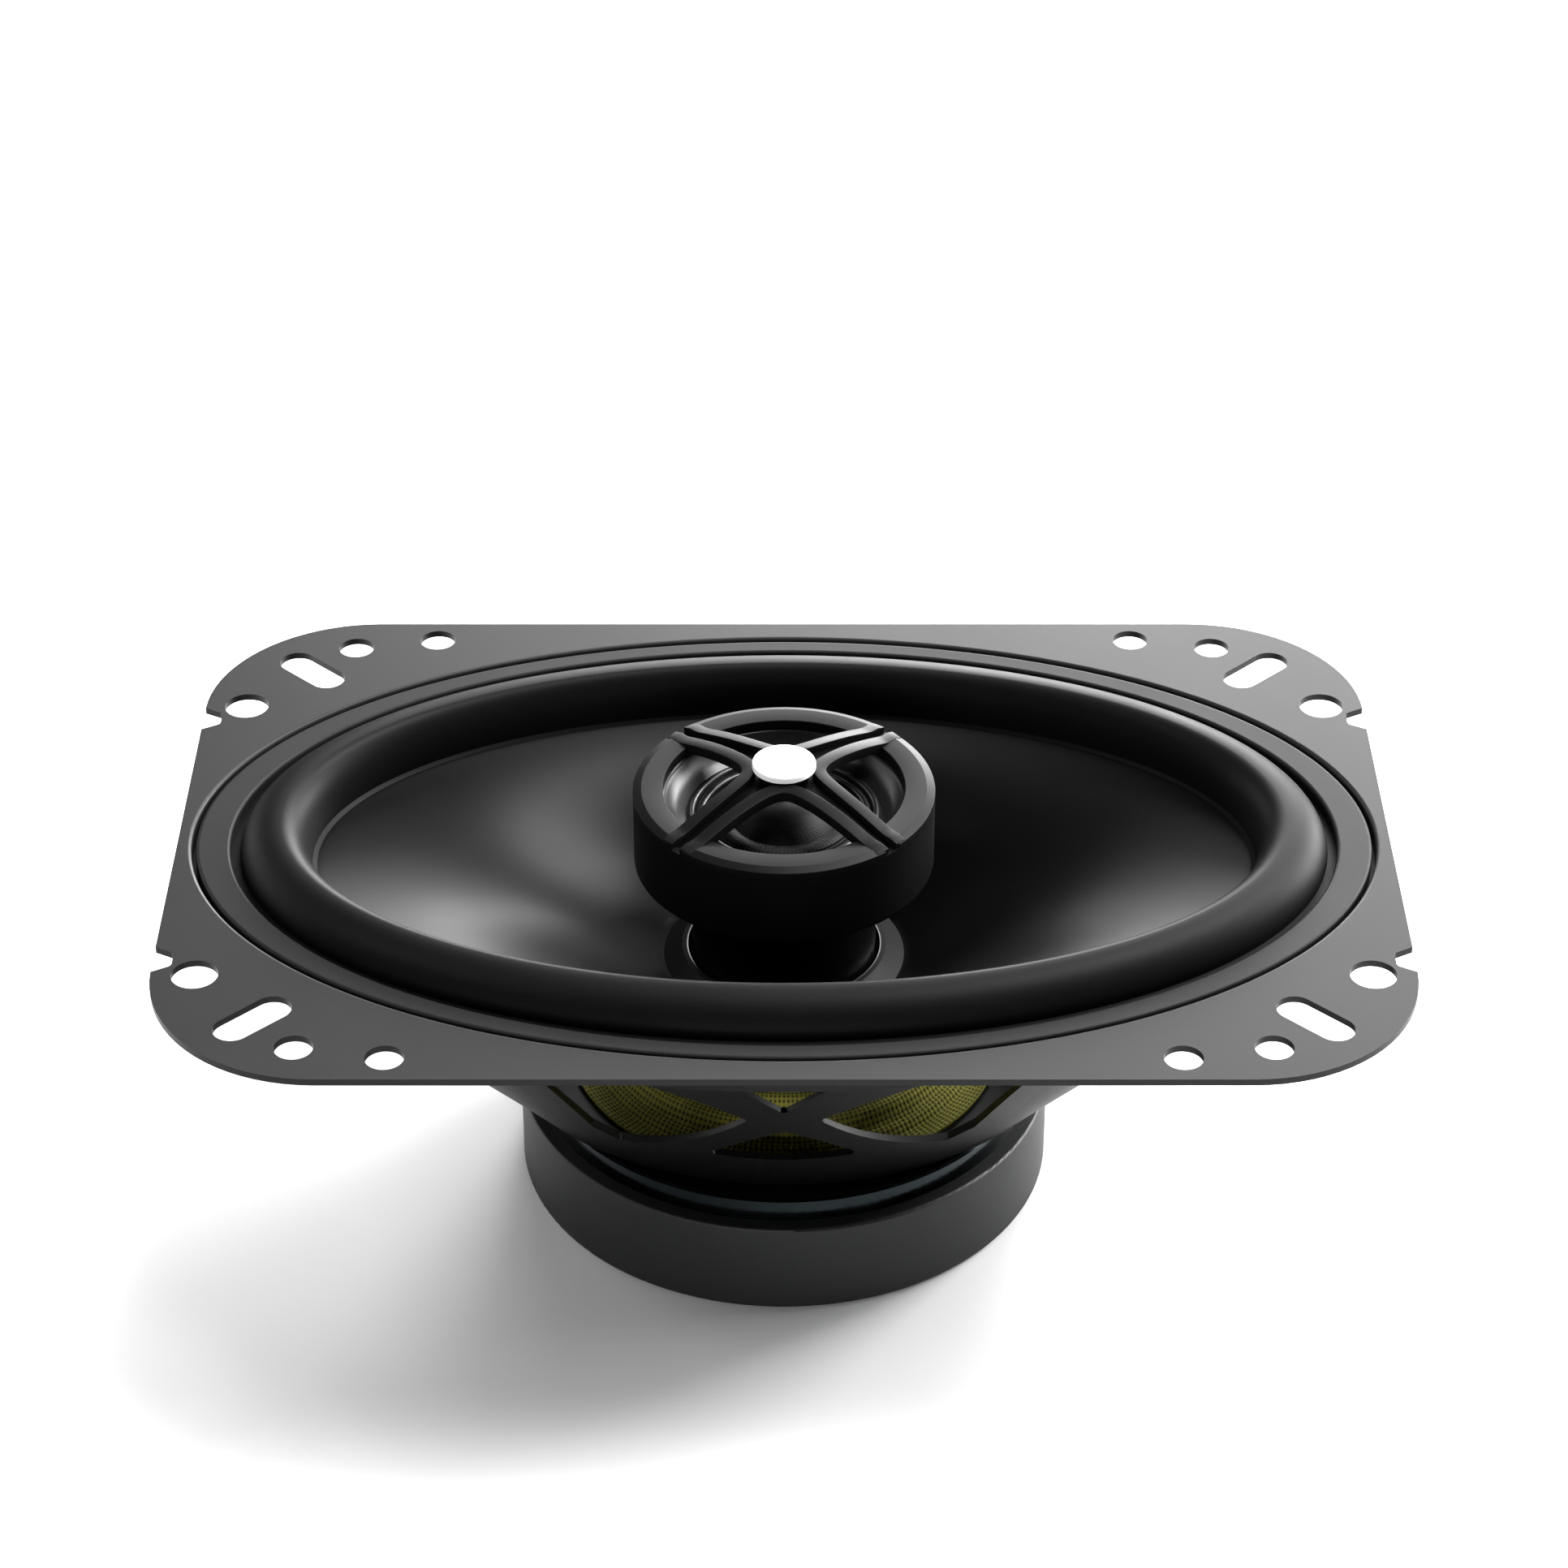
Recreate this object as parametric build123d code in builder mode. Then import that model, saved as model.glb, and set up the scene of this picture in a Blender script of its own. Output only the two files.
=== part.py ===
from build123d import *
import os
from math import acos, asin, cos, radians, sin, sqrt

# Coaxial car speaker for a 4 x 6 inch opening, as an assembly of separate pieces.
# Millimetres. Z = 0 is the rear face of the flange, +Z points at the listener,
# X runs along the oval's long axis. The origin is the middle of the mounting holes.

# ---- flange ----
sheet = 0.9
flange_length = 155.0
flange_width = 103.6
flange_corner = 21.9
main_hole_x = 72.03
main_hole_y = 30.67
main_hole_r = 2.915
small_hole_r = 2.39
outer_small_x = 58.53
outer_small_y = 45.52
inner_small_x = 47.53
inner_small_y = 47.52
slot_x = 64.05
slot_y = 39.7
slot_spacing = 6.1
slot_angle = 44.0
notch_y = 27.5
notch_mouth = 5.2
notch_bottom = 2.6
notch_depth = 2.4
notch_corner = 0.8

# ---- oval mouth, ledge and bowl of the basket (half lengths along X and Y) ----
mouth = (75.7, 47.9)
ledge_inner = (71.7, 45.1)
bowl_floor_inner = (70.7, 44.1)
ledge_top = -1.3
bowl_floor_top = -5.3
mouth_fillet = 0.5

# ---- folded lower frame: corner point, end and front of its outline ----
frame_top = {"corner": (36.2, 38.05), "end": 66.0, "front": 43.4}
frame_bottom = {"corner": (24.5, 22.0), "end": 36.0, "front": 29.7}
basket_bottom = -32.7
basket_floor_top = basket_bottom + sheet
floor_hole_r = 16.5
window_top = -7.6
window_fillet = 1.2
end_strut_half = 5.0

# ---- motor ----
top_plate_r = 32.9
top_plate_thickness = 4.0
top_plate_bore = 13.4
magnet_r = 33.1
magnet_bore = 15.5
magnet_thickness = 8.0
back_plate_r = 32.0
back_plate_thickness = 3.2
pole_r = 12.1
pole_bore = 4.0
boot_r = 34.85
boot_inner_r = 33.4
boot_top = -35.9
boot_base = 1.0
boot_window_r = 10.0
boot_bottom_fillet = 0.9
boot_top_fillet = 0.35
stake_circle = 21.0
stake_r = 1.6
stake_head_r = 2.5
stake_head = 0.8
stake_depth = 1.6

# ---- moving system ----
coil_inner_r = 12.5
former_wall = 0.15
winding_thickness = 0.35
winding_height = 8.0
former_bottom = -39.0
neck_top = -16.0
cone_rim = (60.4, 33.9)
cone_rim_z = -2.6
cone_neck_r = 15.74
cone_neck_z = -17.5
cone_thickness = 0.8
cone_skirt = 0.5
surround_foot = 0.6
roll_outer = (69.6, 42.3)
roll_inner = (60.6, 34.1)
roll_middle = (64.2, 37.0)
roll_crest = 4.6
crest_half = 1.2
ring_outer = (75.2, 47.5)
ring_inner = (70.75, 44.7)
ring_height = 1.5
ring_fillet = 0.45
spider_thickness = 0.5
spider_landing_outer = 28.3
spider_landing_inner = 26.0
spider_inner_r = 12.75
spider_rise_z = -20.2
spider_collar = 1.6
spider_slant = 0.4
neck_ring_gap = 0.1
neck_ring_land = 0.6

# ---- tweeter on its post ----
post_r = 11.9
post_wall = 1.6
post_web = 6.0
stem_bore = 2.8
stem_bottom = -46.5
nut_seat = -44.9
nut_height = 1.5
nut_half_flats = 6.0
nut_recess_r = 8.0
cup_r = 19.25
cup_wall = 1.4
cup_bottom = -2.8
cup_floor = 1.0
cup_fillet = 0.7
tail_hole_r = 0.6
bezel_z = 8.3
bezel_bottom = 6.9
bezel_flat_r = 18.17
bezel_inner_r = 15.4
bezel_bevel = 0.35
crown_top = 11.15
crown_shoulder = (8.5, 10.5)
crown_foot = (16.6, 8.55)
crown_rim = (18.75, 8.45)
rail_depth = 1.5
rail_width = 1.55
channel_width = 1.3
channel_depth = 1.0
apex_round = 2.5
rail_reach = 14.0
hub_r = 3.2
badge_r = 4.05
badge_top = 12.0
badge_thickness = 0.8
dome_r = 6.6
dome_height = 2.2
dome_z = 3.5
dome_wall = 0.3
tweeter_film = 0.2
tweeter_roll_inner = 6.8
tweeter_roll_middle = 7.9
tweeter_roll_foot = 9.0
tweeter_roll_rise = 0.8
tweeter_roll_under = 0.55
tweeter_roll_outer = 9.4
tweeter_coil_inner = 6.2
tweeter_coil_wall = 0.35
tweeter_coil_drop = 2.2
pot_r = 8.2
pot_height = 4.2
pot_floor = 1.2
pot_gap = 0.9
pot_magnet_r = 5.4
pot_magnet_height = 2.0
pot_plate_height = 1.0
diaphragm_ring_r = 10.0
diaphragm_ring_overlap = 0.6
waveguide_throat_r = 10.1
waveguide_middle_r = 13.2
waveguide_middle_z = 4.7
waveguide_wall = 1.2
waveguide_gap = 0.1

# ---- electrical pieces on the rear panel ----
terminal_z = -16.4
board_width = 20.0
board_height = 13.0
board_thickness = 1.6
rivet_r = 1.5
rivet_head_r = 2.5
rivet_head = 0.8
blade_x = 6.2
positive_blade_width = 4.75
negative_blade_width = 2.8
blade_length = 9.0
blade_thickness = 0.8
tinsel_r = 0.5
lead_r = 0.6
lead_channel_r = 0.9
lead_y = 33.1
capacitor_r = 3.6
capacitor_length = 13.0
capacitor_bottom = -23.7
capacitor_fillet = 0.5
cable_low_z = -47.15
cable_bend_z = -27.69
cable_bends = [2.0, 1.5, 6.0]
cable_end_y = 35.66
cable_end_z = -22.57
tail_r = 0.45
tail_y = 9.3
tail_top = 2.4
tail_bend = 0.9
tail_levels = (-8.4, -5.4)
return_levels = (-7.0, -5.0)
return_y = 5.2
return_drop = 1.4
tinsel_x = 7.5
eyelet_x = 7.0
eyelet_y = 22.0
eyelet_top = -11.0
eyelet_bottom = -14.4
eyelet_r = 0.9

top_plate_top = basket_bottom
top_plate_bottom = top_plate_top - top_plate_thickness
magnet_bottom = top_plate_bottom - magnet_thickness
back_plate_bottom = magnet_bottom - back_plate_thickness
boot_bottom = back_plate_bottom - boot_base
former_r = coil_inner_r + former_wall
winding_r = former_r + winding_thickness
gap_middle = (top_plate_top + top_plate_bottom) / 2
post_bottom = top_plate_top
# rear panel: a plane that leans with the folded wall, local Y pointing down along it
panel_drop = bowl_floor_top - basket_bottom
panel_lean = frame_top["front"] - frame_bottom["front"]
panel_y = frame_bottom["front"] + panel_lean * (terminal_z - basket_bottom) / panel_drop
rear_panel = Plane(
    origin=(0, panel_y, terminal_z),
    x_dir=(1, 0, 0),
    z_dir=(0, panel_drop, -panel_lean),
)
os.makedirs("parts", exist_ok=True)


def grown(half_sizes, amount):
    """Half lengths of an ellipse whose outline is moved out by an amount."""
    return (half_sizes[0] + amount, half_sizes[1] + amount)


def four_arc_face(outline, inset=0.0):
    """Oval with four folded corners: arcs at the two ends, front and back."""
    corner_x = outline["corner"][0] - inset
    corner_y = outline["corner"][1] - inset
    end_x = outline["end"] - inset
    front_y = outline["front"] - inset
    with BuildLine() as outline_edges:
        ThreePointArc((corner_x, -corner_y), (end_x, 0), (corner_x, corner_y))
        ThreePointArc((corner_x, corner_y), (0, front_y), (-corner_x, corner_y))
        ThreePointArc((-corner_x, corner_y), (-end_x, 0), (-corner_x, -corner_y))
        ThreePointArc((-corner_x, -corner_y), (0, -front_y), (corner_x, -corner_y))
    make_face(outline_edges.edges())


def side_window(side):
    """Large rounded window beside the crossing of the front and back panels."""
    with BuildLine() as outline_edges:
        Polyline((side * 32.0, window_top), (side * 24.0, -23.6), (side * 20.6, -25.8))
        ThreePointArc((side * 20.6, -25.8), (side * 12.6, -22.6), (side * 4.4, -16.0))
        ThreePointArc((side * 4.4, -16.0), (side * 10.4, -12.0), (side * 19.2, window_top))
        Line((side * 19.2, window_top), (side * 32.0, window_top))
    make_face(outline_edges.edges())


def top_window():
    """Small V between the upper arms of the crossing."""
    with BuildLine() as outline_edges:
        Polyline((-6.2, window_top), (0, -14.2), (6.2, window_top), (-6.2, window_top))
    make_face(outline_edges.edges())


def bottom_window():
    """Low arch between the lower arms of the crossing."""
    with BuildLine() as outline_edges:
        ThreePointArc((-9.8, -25.1), (0, -26.0), (9.8, -25.1))
        Polyline((9.8, -25.1), (4.8, -21.4), (0, -18.6), (-4.8, -21.4), (-9.8, -25.1))
    make_face(outline_edges.edges())


def end_window(side):
    """Tall window in an end panel, one on each side of the middle strut."""
    with BuildLine() as outline_edges:
        Polyline(
            (side * end_strut_half, window_top - 2),
            (side * 23.0, window_top - 2),
            (side * 17.0, -26.5),
            (side * end_strut_half, -27.5),
            (side * end_strut_half, window_top - 2),
        )
    make_face(outline_edges.edges())


with BuildPart() as basket:
    with BuildSketch(Plane.XY):
        RectangleRounded(flange_length, flange_width, flange_corner)
        Ellipse(*mouth, mode=Mode.SUBTRACT)
        with GridLocations(2 * main_hole_x, 2 * main_hole_y, 2, 2):
            Circle(main_hole_r, mode=Mode.SUBTRACT)
        with GridLocations(2 * outer_small_x, 2 * outer_small_y, 2, 2):
            Circle(small_hole_r, mode=Mode.SUBTRACT)
        with GridLocations(2 * inner_small_x, 2 * inner_small_y, 2, 2):
            Circle(small_hole_r, mode=Mode.SUBTRACT)
        for x_side in (-1, 1):
            for y_side in (-1, 1):
                with Locations((x_side * slot_x, y_side * slot_y)):
                    SlotCenterToCenter(
                        slot_spacing,
                        2 * small_hole_r,
                        rotation=x_side * y_side * slot_angle,
                        mode=Mode.SUBTRACT,
                    )
                with Locations((x_side * flange_length / 2, y_side * notch_y)):
                    Polygon(
                        (x_side, notch_mouth / 2),
                        (0, notch_mouth / 2),
                        (-x_side * notch_depth, notch_bottom / 2),
                        (-x_side * notch_depth, -notch_bottom / 2),
                        (0, -notch_mouth / 2),
                        (x_side, -notch_mouth / 2),
                        align=None,
                        mode=Mode.SUBTRACT,
                    )
        notch_ends = vertices().filter_by(
            lambda corner: abs(abs(corner.X) - flange_length / 2 + notch_depth) < 0.01
        )
        fillet(notch_ends, notch_corner)
    extrude(amount=sheet)
    # wall that steps down from the mouth, and the ledge that carries the surround
    with BuildSketch(Plane.XY.offset(ledge_top - sheet)):
        Ellipse(*grown(mouth, sheet))
        Ellipse(*ledge_inner, mode=Mode.SUBTRACT)
    extrude(amount=-ledge_top + sheet)
    with BuildSketch(Plane.XY.offset(ledge_top)):
        Ellipse(*mouth)
    extrude(amount=-ledge_top, mode=Mode.SUBTRACT)
    # shallow bowl under the ledge
    with BuildSketch(Plane.XY.offset(ledge_top - sheet)):
        Ellipse(*grown(ledge_inner, sheet))
    with BuildSketch(Plane.XY.offset(bowl_floor_top - sheet)):
        Ellipse(*grown(bowl_floor_inner, sheet))
    loft()
    # folded lower frame, down to the floor that sits on the top plate
    with BuildSketch(Plane.XY.offset(bowl_floor_top)):
        four_arc_face(frame_top)
    with BuildSketch(Plane.XY.offset(basket_bottom)):
        four_arc_face(frame_bottom)
    loft()
    with BuildSketch(Plane.XY.offset(ledge_top)):
        Ellipse(*ledge_inner)
    with BuildSketch(Plane.XY.offset(bowl_floor_top)):
        Ellipse(*bowl_floor_inner)
    loft(mode=Mode.SUBTRACT)
    with BuildSketch(Plane.XY.offset(bowl_floor_top)):
        four_arc_face(frame_top, inset=sheet)
    with BuildSketch(Plane.XY.offset(basket_floor_top)):
        four_arc_face(frame_bottom, inset=sheet)
    loft(mode=Mode.SUBTRACT)
    # hole for the voice coil and the four staked joints
    with BuildSketch(Plane.XY.offset(basket_bottom)):
        Circle(floor_hole_r)
        with PolarLocations(stake_circle, 4, start_angle=45):
            Circle(stake_r)
    extrude(amount=2 * sheet, mode=Mode.SUBTRACT)
    # windows through the front and back panels, then through the two ends
    with BuildSketch(Plane.XZ):
        for window_side in (-1, 1):
            side_window(window_side)
        top_window()
        bottom_window()
        fillet(vertices(), window_fillet / 2)
    extrude(amount=flange_width / 2, both=True, mode=Mode.SUBTRACT)
    with BuildSketch(Plane.YZ):
        for window_side in (-1, 1):
            end_window(window_side)
        fillet(vertices(), window_fillet)
    extrude(amount=flange_length / 2, both=True, mode=Mode.SUBTRACT)
    # rivet hole for the terminal board, in the rear panel only
    with BuildSketch(rear_panel):
        Circle(rivet_r)
    extrude(amount=2 * sheet, both=True, mode=Mode.SUBTRACT)
    # rounded edge where the flange turns down into the mouth
    top_edges = basket.edges().group_by(Axis.Z)[-1]
    fillet(top_edges.sort_by(SortBy.LENGTH)[-1:], mouth_fillet)
basket.part.label = "basket"
export_step(basket.part, "parts/basket.step")


# ---- magnet system ----
with BuildPart() as top_plate:
    with BuildSketch(Plane.XY.offset(top_plate_bottom)):
        Circle(top_plate_r)
        Circle(top_plate_bore, mode=Mode.SUBTRACT)
        with Locations((0, lead_y)):
            Circle(lead_channel_r, mode=Mode.SUBTRACT)
    extrude(amount=top_plate_thickness)
    outer_edges = top_plate.edges().filter_by(GeomType.CIRCLE).group_by(SortBy.RADIUS)[-1]
    chamfer(outer_edges, 0.3)
    with BuildSketch(Plane.XY.offset(top_plate_top)):
        with PolarLocations(stake_circle, 4, start_angle=45):
            Circle(stake_r)
    extrude(amount=-stake_depth, mode=Mode.SUBTRACT)
top_plate.part.label = "top_plate"
export_step(top_plate.part, "parts/top_plate.step")

with BuildPart() as plate_stakes:
    with BuildSketch(Plane.XY.offset(top_plate_top - stake_depth)):
        with PolarLocations(stake_circle, 4, start_angle=45):
            Circle(stake_r)
    extrude(amount=stake_depth + sheet)
    with BuildSketch(Plane.XY.offset(basket_floor_top)):
        with PolarLocations(stake_circle, 4, start_angle=45):
            Circle(stake_head_r)
    extrude(amount=stake_head)
plate_stakes.part.label = "plate_stakes"
export_step(plate_stakes.part, "parts/plate_stakes.step")

with BuildPart() as ferrite_magnet:
    with BuildSketch(Plane.XY.offset(magnet_bottom)):
        Circle(magnet_r)
        Circle(magnet_bore, mode=Mode.SUBTRACT)
        with Locations((0, lead_y)):
            Circle(lead_channel_r, mode=Mode.SUBTRACT)
    extrude(amount=magnet_thickness)
ferrite_magnet.part.label = "ferrite_magnet"
export_step(ferrite_magnet.part, "parts/ferrite_magnet.step")

with BuildPart() as yoke:
    with BuildSketch(Plane.XY.offset(back_plate_bottom)):
        Circle(back_plate_r)
    extrude(amount=back_plate_thickness)
    with BuildSketch(Plane.XY.offset(magnet_bottom)):
        Circle(pole_r)
    extrude(amount=top_plate_top - magnet_bottom)
    # bore for the post's stem, recess for its nut, and the groove for the cable
    with BuildSketch(Plane.XY.offset(back_plate_bottom)):
        Circle(pole_bore)
    extrude(amount=top_plate_top - back_plate_bottom, mode=Mode.SUBTRACT)
    with BuildSketch(Plane.XY.offset(back_plate_bottom)):
        Circle(nut_recess_r)
    extrude(amount=nut_seat - back_plate_bottom, mode=Mode.SUBTRACT)
    with BuildSketch(Plane.XY.offset(back_plate_bottom)):
        with Locations((0, back_plate_r / 2)):
            Rectangle(2 * lead_channel_r, back_plate_r)
    extrude(amount=2 * lead_channel_r, mode=Mode.SUBTRACT)
yoke.part.label = "yoke"
export_step(yoke.part, "parts/yoke.step")

with BuildPart() as magnet_boot:
    with BuildSketch(Plane.XY.offset(boot_bottom)):
        Circle(boot_r)
    extrude(amount=boot_top - boot_bottom)
    boot_edges = magnet_boot.edges().filter_by(GeomType.CIRCLE)
    fillet(boot_edges.group_by(Axis.Z)[0], boot_bottom_fillet)
    fillet(boot_edges.group_by(Axis.Z)[-1], boot_top_fillet)
    with BuildSketch(Plane.XY.offset(back_plate_bottom)):
        Circle(boot_inner_r)
    extrude(amount=top_plate_bottom - back_plate_bottom, mode=Mode.SUBTRACT)
    with BuildSketch(Plane.XY.offset(top_plate_bottom)):
        Circle(top_plate_r)
    extrude(amount=boot_top - top_plate_bottom, mode=Mode.SUBTRACT)
    with BuildSketch(Plane.XY.offset(boot_bottom)):
        Circle(boot_window_r)
    extrude(amount=boot_base, mode=Mode.SUBTRACT)
    with BuildSketch(Plane.XY.offset(back_plate_bottom)):
        with Locations((0, lead_y)):
            Circle(lead_channel_r)
    extrude(amount=boot_top - back_plate_bottom, mode=Mode.SUBTRACT)
magnet_boot.part.label = "magnet_boot"
export_step(magnet_boot.part, "parts/magnet_boot.step")


# ---- surround, ring, spider and the moving system ----
with BuildPart() as gasket_ring:
    with BuildSketch(Plane.XY.offset(ledge_top + surround_foot)):
        Ellipse(*ring_outer)
        Ellipse(*ring_inner, mode=Mode.SUBTRACT)
    extrude(amount=ring_height)
    top_edges = gasket_ring.edges().group_by(Axis.Z)[-1]
    fillet(top_edges, ring_fillet)
gasket_ring.part.label = "gasket_ring"
export_step(gasket_ring.part, "parts/gasket_ring.step")

crest_top = ledge_top + surround_foot + roll_crest
with BuildPart() as surround:
    with BuildSketch(Plane.XY.offset(ledge_top)):
        Ellipse(*ring_outer)
        Ellipse(*grown(roll_outer, -surround_foot), mode=Mode.SUBTRACT)
    extrude(amount=surround_foot)
    # half roll: a sloping outer wall, a sloping inner wall and the crest between them
    with BuildSketch(Plane.XY.offset(ledge_top)):
        Ellipse(*roll_outer)
    with BuildSketch(Plane.XY.offset(crest_top)):
        Ellipse(*grown(roll_middle, crest_half))
    loft()
    with BuildSketch(Plane.XY.offset(ledge_top)):
        Ellipse(*grown(roll_outer, -surround_foot))
    with BuildSketch(Plane.XY.offset(crest_top)):
        Ellipse(*grown(roll_middle, crest_half - surround_foot))
    loft(mode=Mode.SUBTRACT)
    with BuildSketch(Plane.XY.offset(cone_rim_z)):
        Ellipse(*grown(roll_inner, surround_foot))
    with BuildSketch(Plane.XY.offset(crest_top)):
        Ellipse(*grown(roll_middle, surround_foot - crest_half))
    loft()
    with BuildSketch(Plane.XY.offset(cone_rim_z)):
        Ellipse(*roll_inner)
    with BuildSketch(Plane.XY.offset(crest_top)):
        Ellipse(*grown(roll_middle, -crest_half))
    loft(mode=Mode.SUBTRACT)
    with BuildSketch(Plane.XY.offset(crest_top - surround_foot)):
        Ellipse(*grown(roll_middle, crest_half))
        Ellipse(*grown(roll_middle, -crest_half), mode=Mode.SUBTRACT)
    extrude(amount=surround_foot)
surround.part.label = "surround"
export_step(surround.part, "parts/surround.step")

with BuildPart() as cone:
    with BuildSketch(Plane.XY.offset(cone_rim_z - cone_thickness)):
        Ellipse(*grown(cone_rim, cone_skirt))
    with BuildSketch(Plane.XY.offset(cone_neck_z - cone_thickness)):
        Circle(cone_neck_r + cone_skirt)
    loft()
    with BuildSketch(Plane.XY.offset(cone_rim_z - cone_thickness)):
        Ellipse(*grown(cone_rim, cone_skirt))
    extrude(amount=cone_thickness)
    with BuildSketch(Plane.XY.offset(cone_rim_z)):
        Ellipse(*cone_rim)
    with BuildSketch(Plane.XY.offset(cone_neck_z)):
        Circle(cone_neck_r)
    loft(mode=Mode.SUBTRACT)
    with BuildSketch(Plane.XY.offset(cone_neck_z - 2 * cone_thickness)):
        Circle(former_r)
    extrude(amount=2 * cone_thickness, mode=Mode.SUBTRACT)
    with BuildSketch(Plane.XY.offset(eyelet_bottom)):
        with Locations((-eyelet_x, eyelet_y), (eyelet_x, eyelet_y)):
            Circle(eyelet_r)
    extrude(amount=eyelet_top - eyelet_bottom, mode=Mode.SUBTRACT)
cone.part.label = "cone"
export_step(cone.part, "parts/cone.step")

with BuildPart() as neck_ring:
    with BuildSketch(Plane.XZ):
        with BuildLine():
            Polyline(
                (former_r, cone_neck_z),
                (cone_neck_r - neck_ring_gap, cone_neck_z),
                (former_r + neck_ring_land, neck_top),
                (former_r, neck_top),
                close=True,
            )
        make_face()
    revolve(axis=Axis.Z)
neck_ring.part.label = "neck_ring"
export_step(neck_ring.part, "parts/neck_ring.step")


def tube(outer_radius, inner_radius, bottom, height):
    """Plain round tube standing on a level plane."""
    with BuildSketch(Plane.XY.offset(bottom)) as ring:
        Circle(outer_radius)
        Circle(inner_radius, mode=Mode.SUBTRACT)
    extrude(ring.sketch, amount=height)


with BuildPart() as voice_coil_former:
    tube(former_r, coil_inner_r, former_bottom, neck_top - former_bottom)
voice_coil_former.part.label = "voice_coil_former"
export_step(voice_coil_former.part, "parts/voice_coil_former.step")

with BuildPart() as voice_coil:
    tube(winding_r, former_r, gap_middle - winding_height / 2, winding_height)
voice_coil.part.label = "voice_coil"
export_step(voice_coil.part, "parts/voice_coil.step")

with BuildPart() as spider:
    with BuildSketch(Plane.XZ):
        with BuildLine():
            Polyline(
                (spider_inner_r, spider_rise_z),
                (spider_inner_r + spider_collar, spider_rise_z),
                (spider_landing_inner, basket_floor_top + spider_thickness),
                (spider_landing_outer, basket_floor_top + spider_thickness),
                (spider_landing_outer, basket_floor_top),
                (spider_landing_inner - spider_slant, basket_floor_top),
                (spider_inner_r + spider_collar - spider_slant, spider_rise_z - spider_thickness),
                (spider_inner_r, spider_rise_z - spider_thickness),
                close=True,
            )
        make_face()
    revolve(axis=Axis.Z)
spider.part.label = "spider"
export_step(spider.part, "parts/spider.step")


# ---- tweeter post and the pieces inside it ----
with BuildPart() as tweeter_post:
    tube(post_r, post_r - post_wall, post_bottom, cup_bottom - post_bottom)
    # web at the foot, and the hollow threaded stem that runs through the pole
    tube(post_r - post_wall, stem_bore, post_bottom, post_web)
    tube(pole_bore, stem_bore, stem_bottom, post_bottom - stem_bottom)
tweeter_post.part.label = "tweeter_post"
export_step(tweeter_post.part, "parts/tweeter_post.step")

with BuildPart() as post_nut:
    with BuildSketch(Plane.XY.offset(nut_seat - nut_height)):
        RegularPolygon(nut_half_flats, 6, major_radius=False)
        Circle(pole_bore, mode=Mode.SUBTRACT)
    extrude(amount=nut_height)
post_nut.part.label = "post_nut"
export_step(post_nut.part, "parts/post_nut.step")

with BuildPart() as crossover_capacitor:
    with BuildSketch(Plane.XY.offset(capacitor_bottom)):
        Circle(capacitor_r)
    extrude(amount=capacitor_length)
    fillet(crossover_capacitor.edges().filter_by(GeomType.CIRCLE), capacitor_fillet)
crossover_capacitor.part.label = "crossover_capacitor"
export_step(crossover_capacitor.part, "parts/crossover_capacitor.step")


def wire(points, radius, bends):
    """Round wire along straight runs joined by tangent arcs; returns its length."""
    with BuildLine() as route:
        FilletPolyline(*points, radius=bends)
    path = route.wires()[0]
    with BuildSketch(Plane(origin=path @ 0, z_dir=path % 0)) as section:
        Circle(radius)
    sweep(section.sketch, path=path)
    return path.length


# cable from the terminal board: down the rear of the motor, under the nut and up the stem
cable_points = [
    (0, 0, capacitor_bottom),
    (0, 0, cable_low_z),
    (0, lead_y, cable_low_z),
    (0, lead_y, cable_bend_z),
    (0, cable_end_y, cable_end_z),
]
with BuildPart() as tweeter_cable:
    cable_length = wire(cable_points, lead_r, cable_bends)
tweeter_cable.part.label = "tweeter_cable"
export_step(tweeter_cable.part, "parts/tweeter_cable.step")

positive_points = [
    (0, 0, capacitor_bottom + capacitor_length),
    (0, 0, tail_levels[0]),
    (0, tail_y, tail_levels[1]),
    (0, tail_y, tail_top),
]
negative_points = [
    (0, -lead_r, capacitor_bottom - return_drop),
    (0, -return_y, capacitor_bottom - return_drop),
    (0, -return_y, return_levels[0]),
    (0, -tail_y, return_levels[1]),
    (0, -tail_y, tail_top),
]
with BuildPart() as tweeter_positive_tail:
    wire(positive_points, tail_r, [tail_bend] * 2)
tweeter_positive_tail.part.label = "tweeter_positive_tail"
export_step(tweeter_positive_tail.part, "parts/tweeter_positive_tail.step")

with BuildPart() as tweeter_negative_tail:
    wire(negative_points, tail_r, [tail_bend] * 3)
tweeter_negative_tail.part.label = "tweeter_negative_tail"
export_step(tweeter_negative_tail.part, "parts/tweeter_negative_tail.step")


# ---- tweeter ----
with BuildPart() as tweeter_cup:
    with BuildSketch(Plane.XY.offset(cup_bottom)):
        Circle(cup_r)
    extrude(amount=bezel_bottom - cup_bottom)
    fillet(tweeter_cup.edges().filter_by(GeomType.CIRCLE).group_by(Axis.Z)[0], cup_fillet)
    with BuildSketch(Plane.XY.offset(cup_bottom + cup_floor)):
        Circle(cup_r - cup_wall)
    extrude(amount=bezel_bottom - cup_bottom - cup_floor, mode=Mode.SUBTRACT)
    with BuildSketch(Plane.XY.offset(cup_bottom)):
        with GridLocations(0, 2 * tail_y, 1, 2):
            Circle(tail_hole_r)
    extrude(amount=cup_floor, mode=Mode.SUBTRACT)
tweeter_cup.part.label = "tweeter_cup"
export_step(tweeter_cup.part, "parts/tweeter_cup.step")

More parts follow.
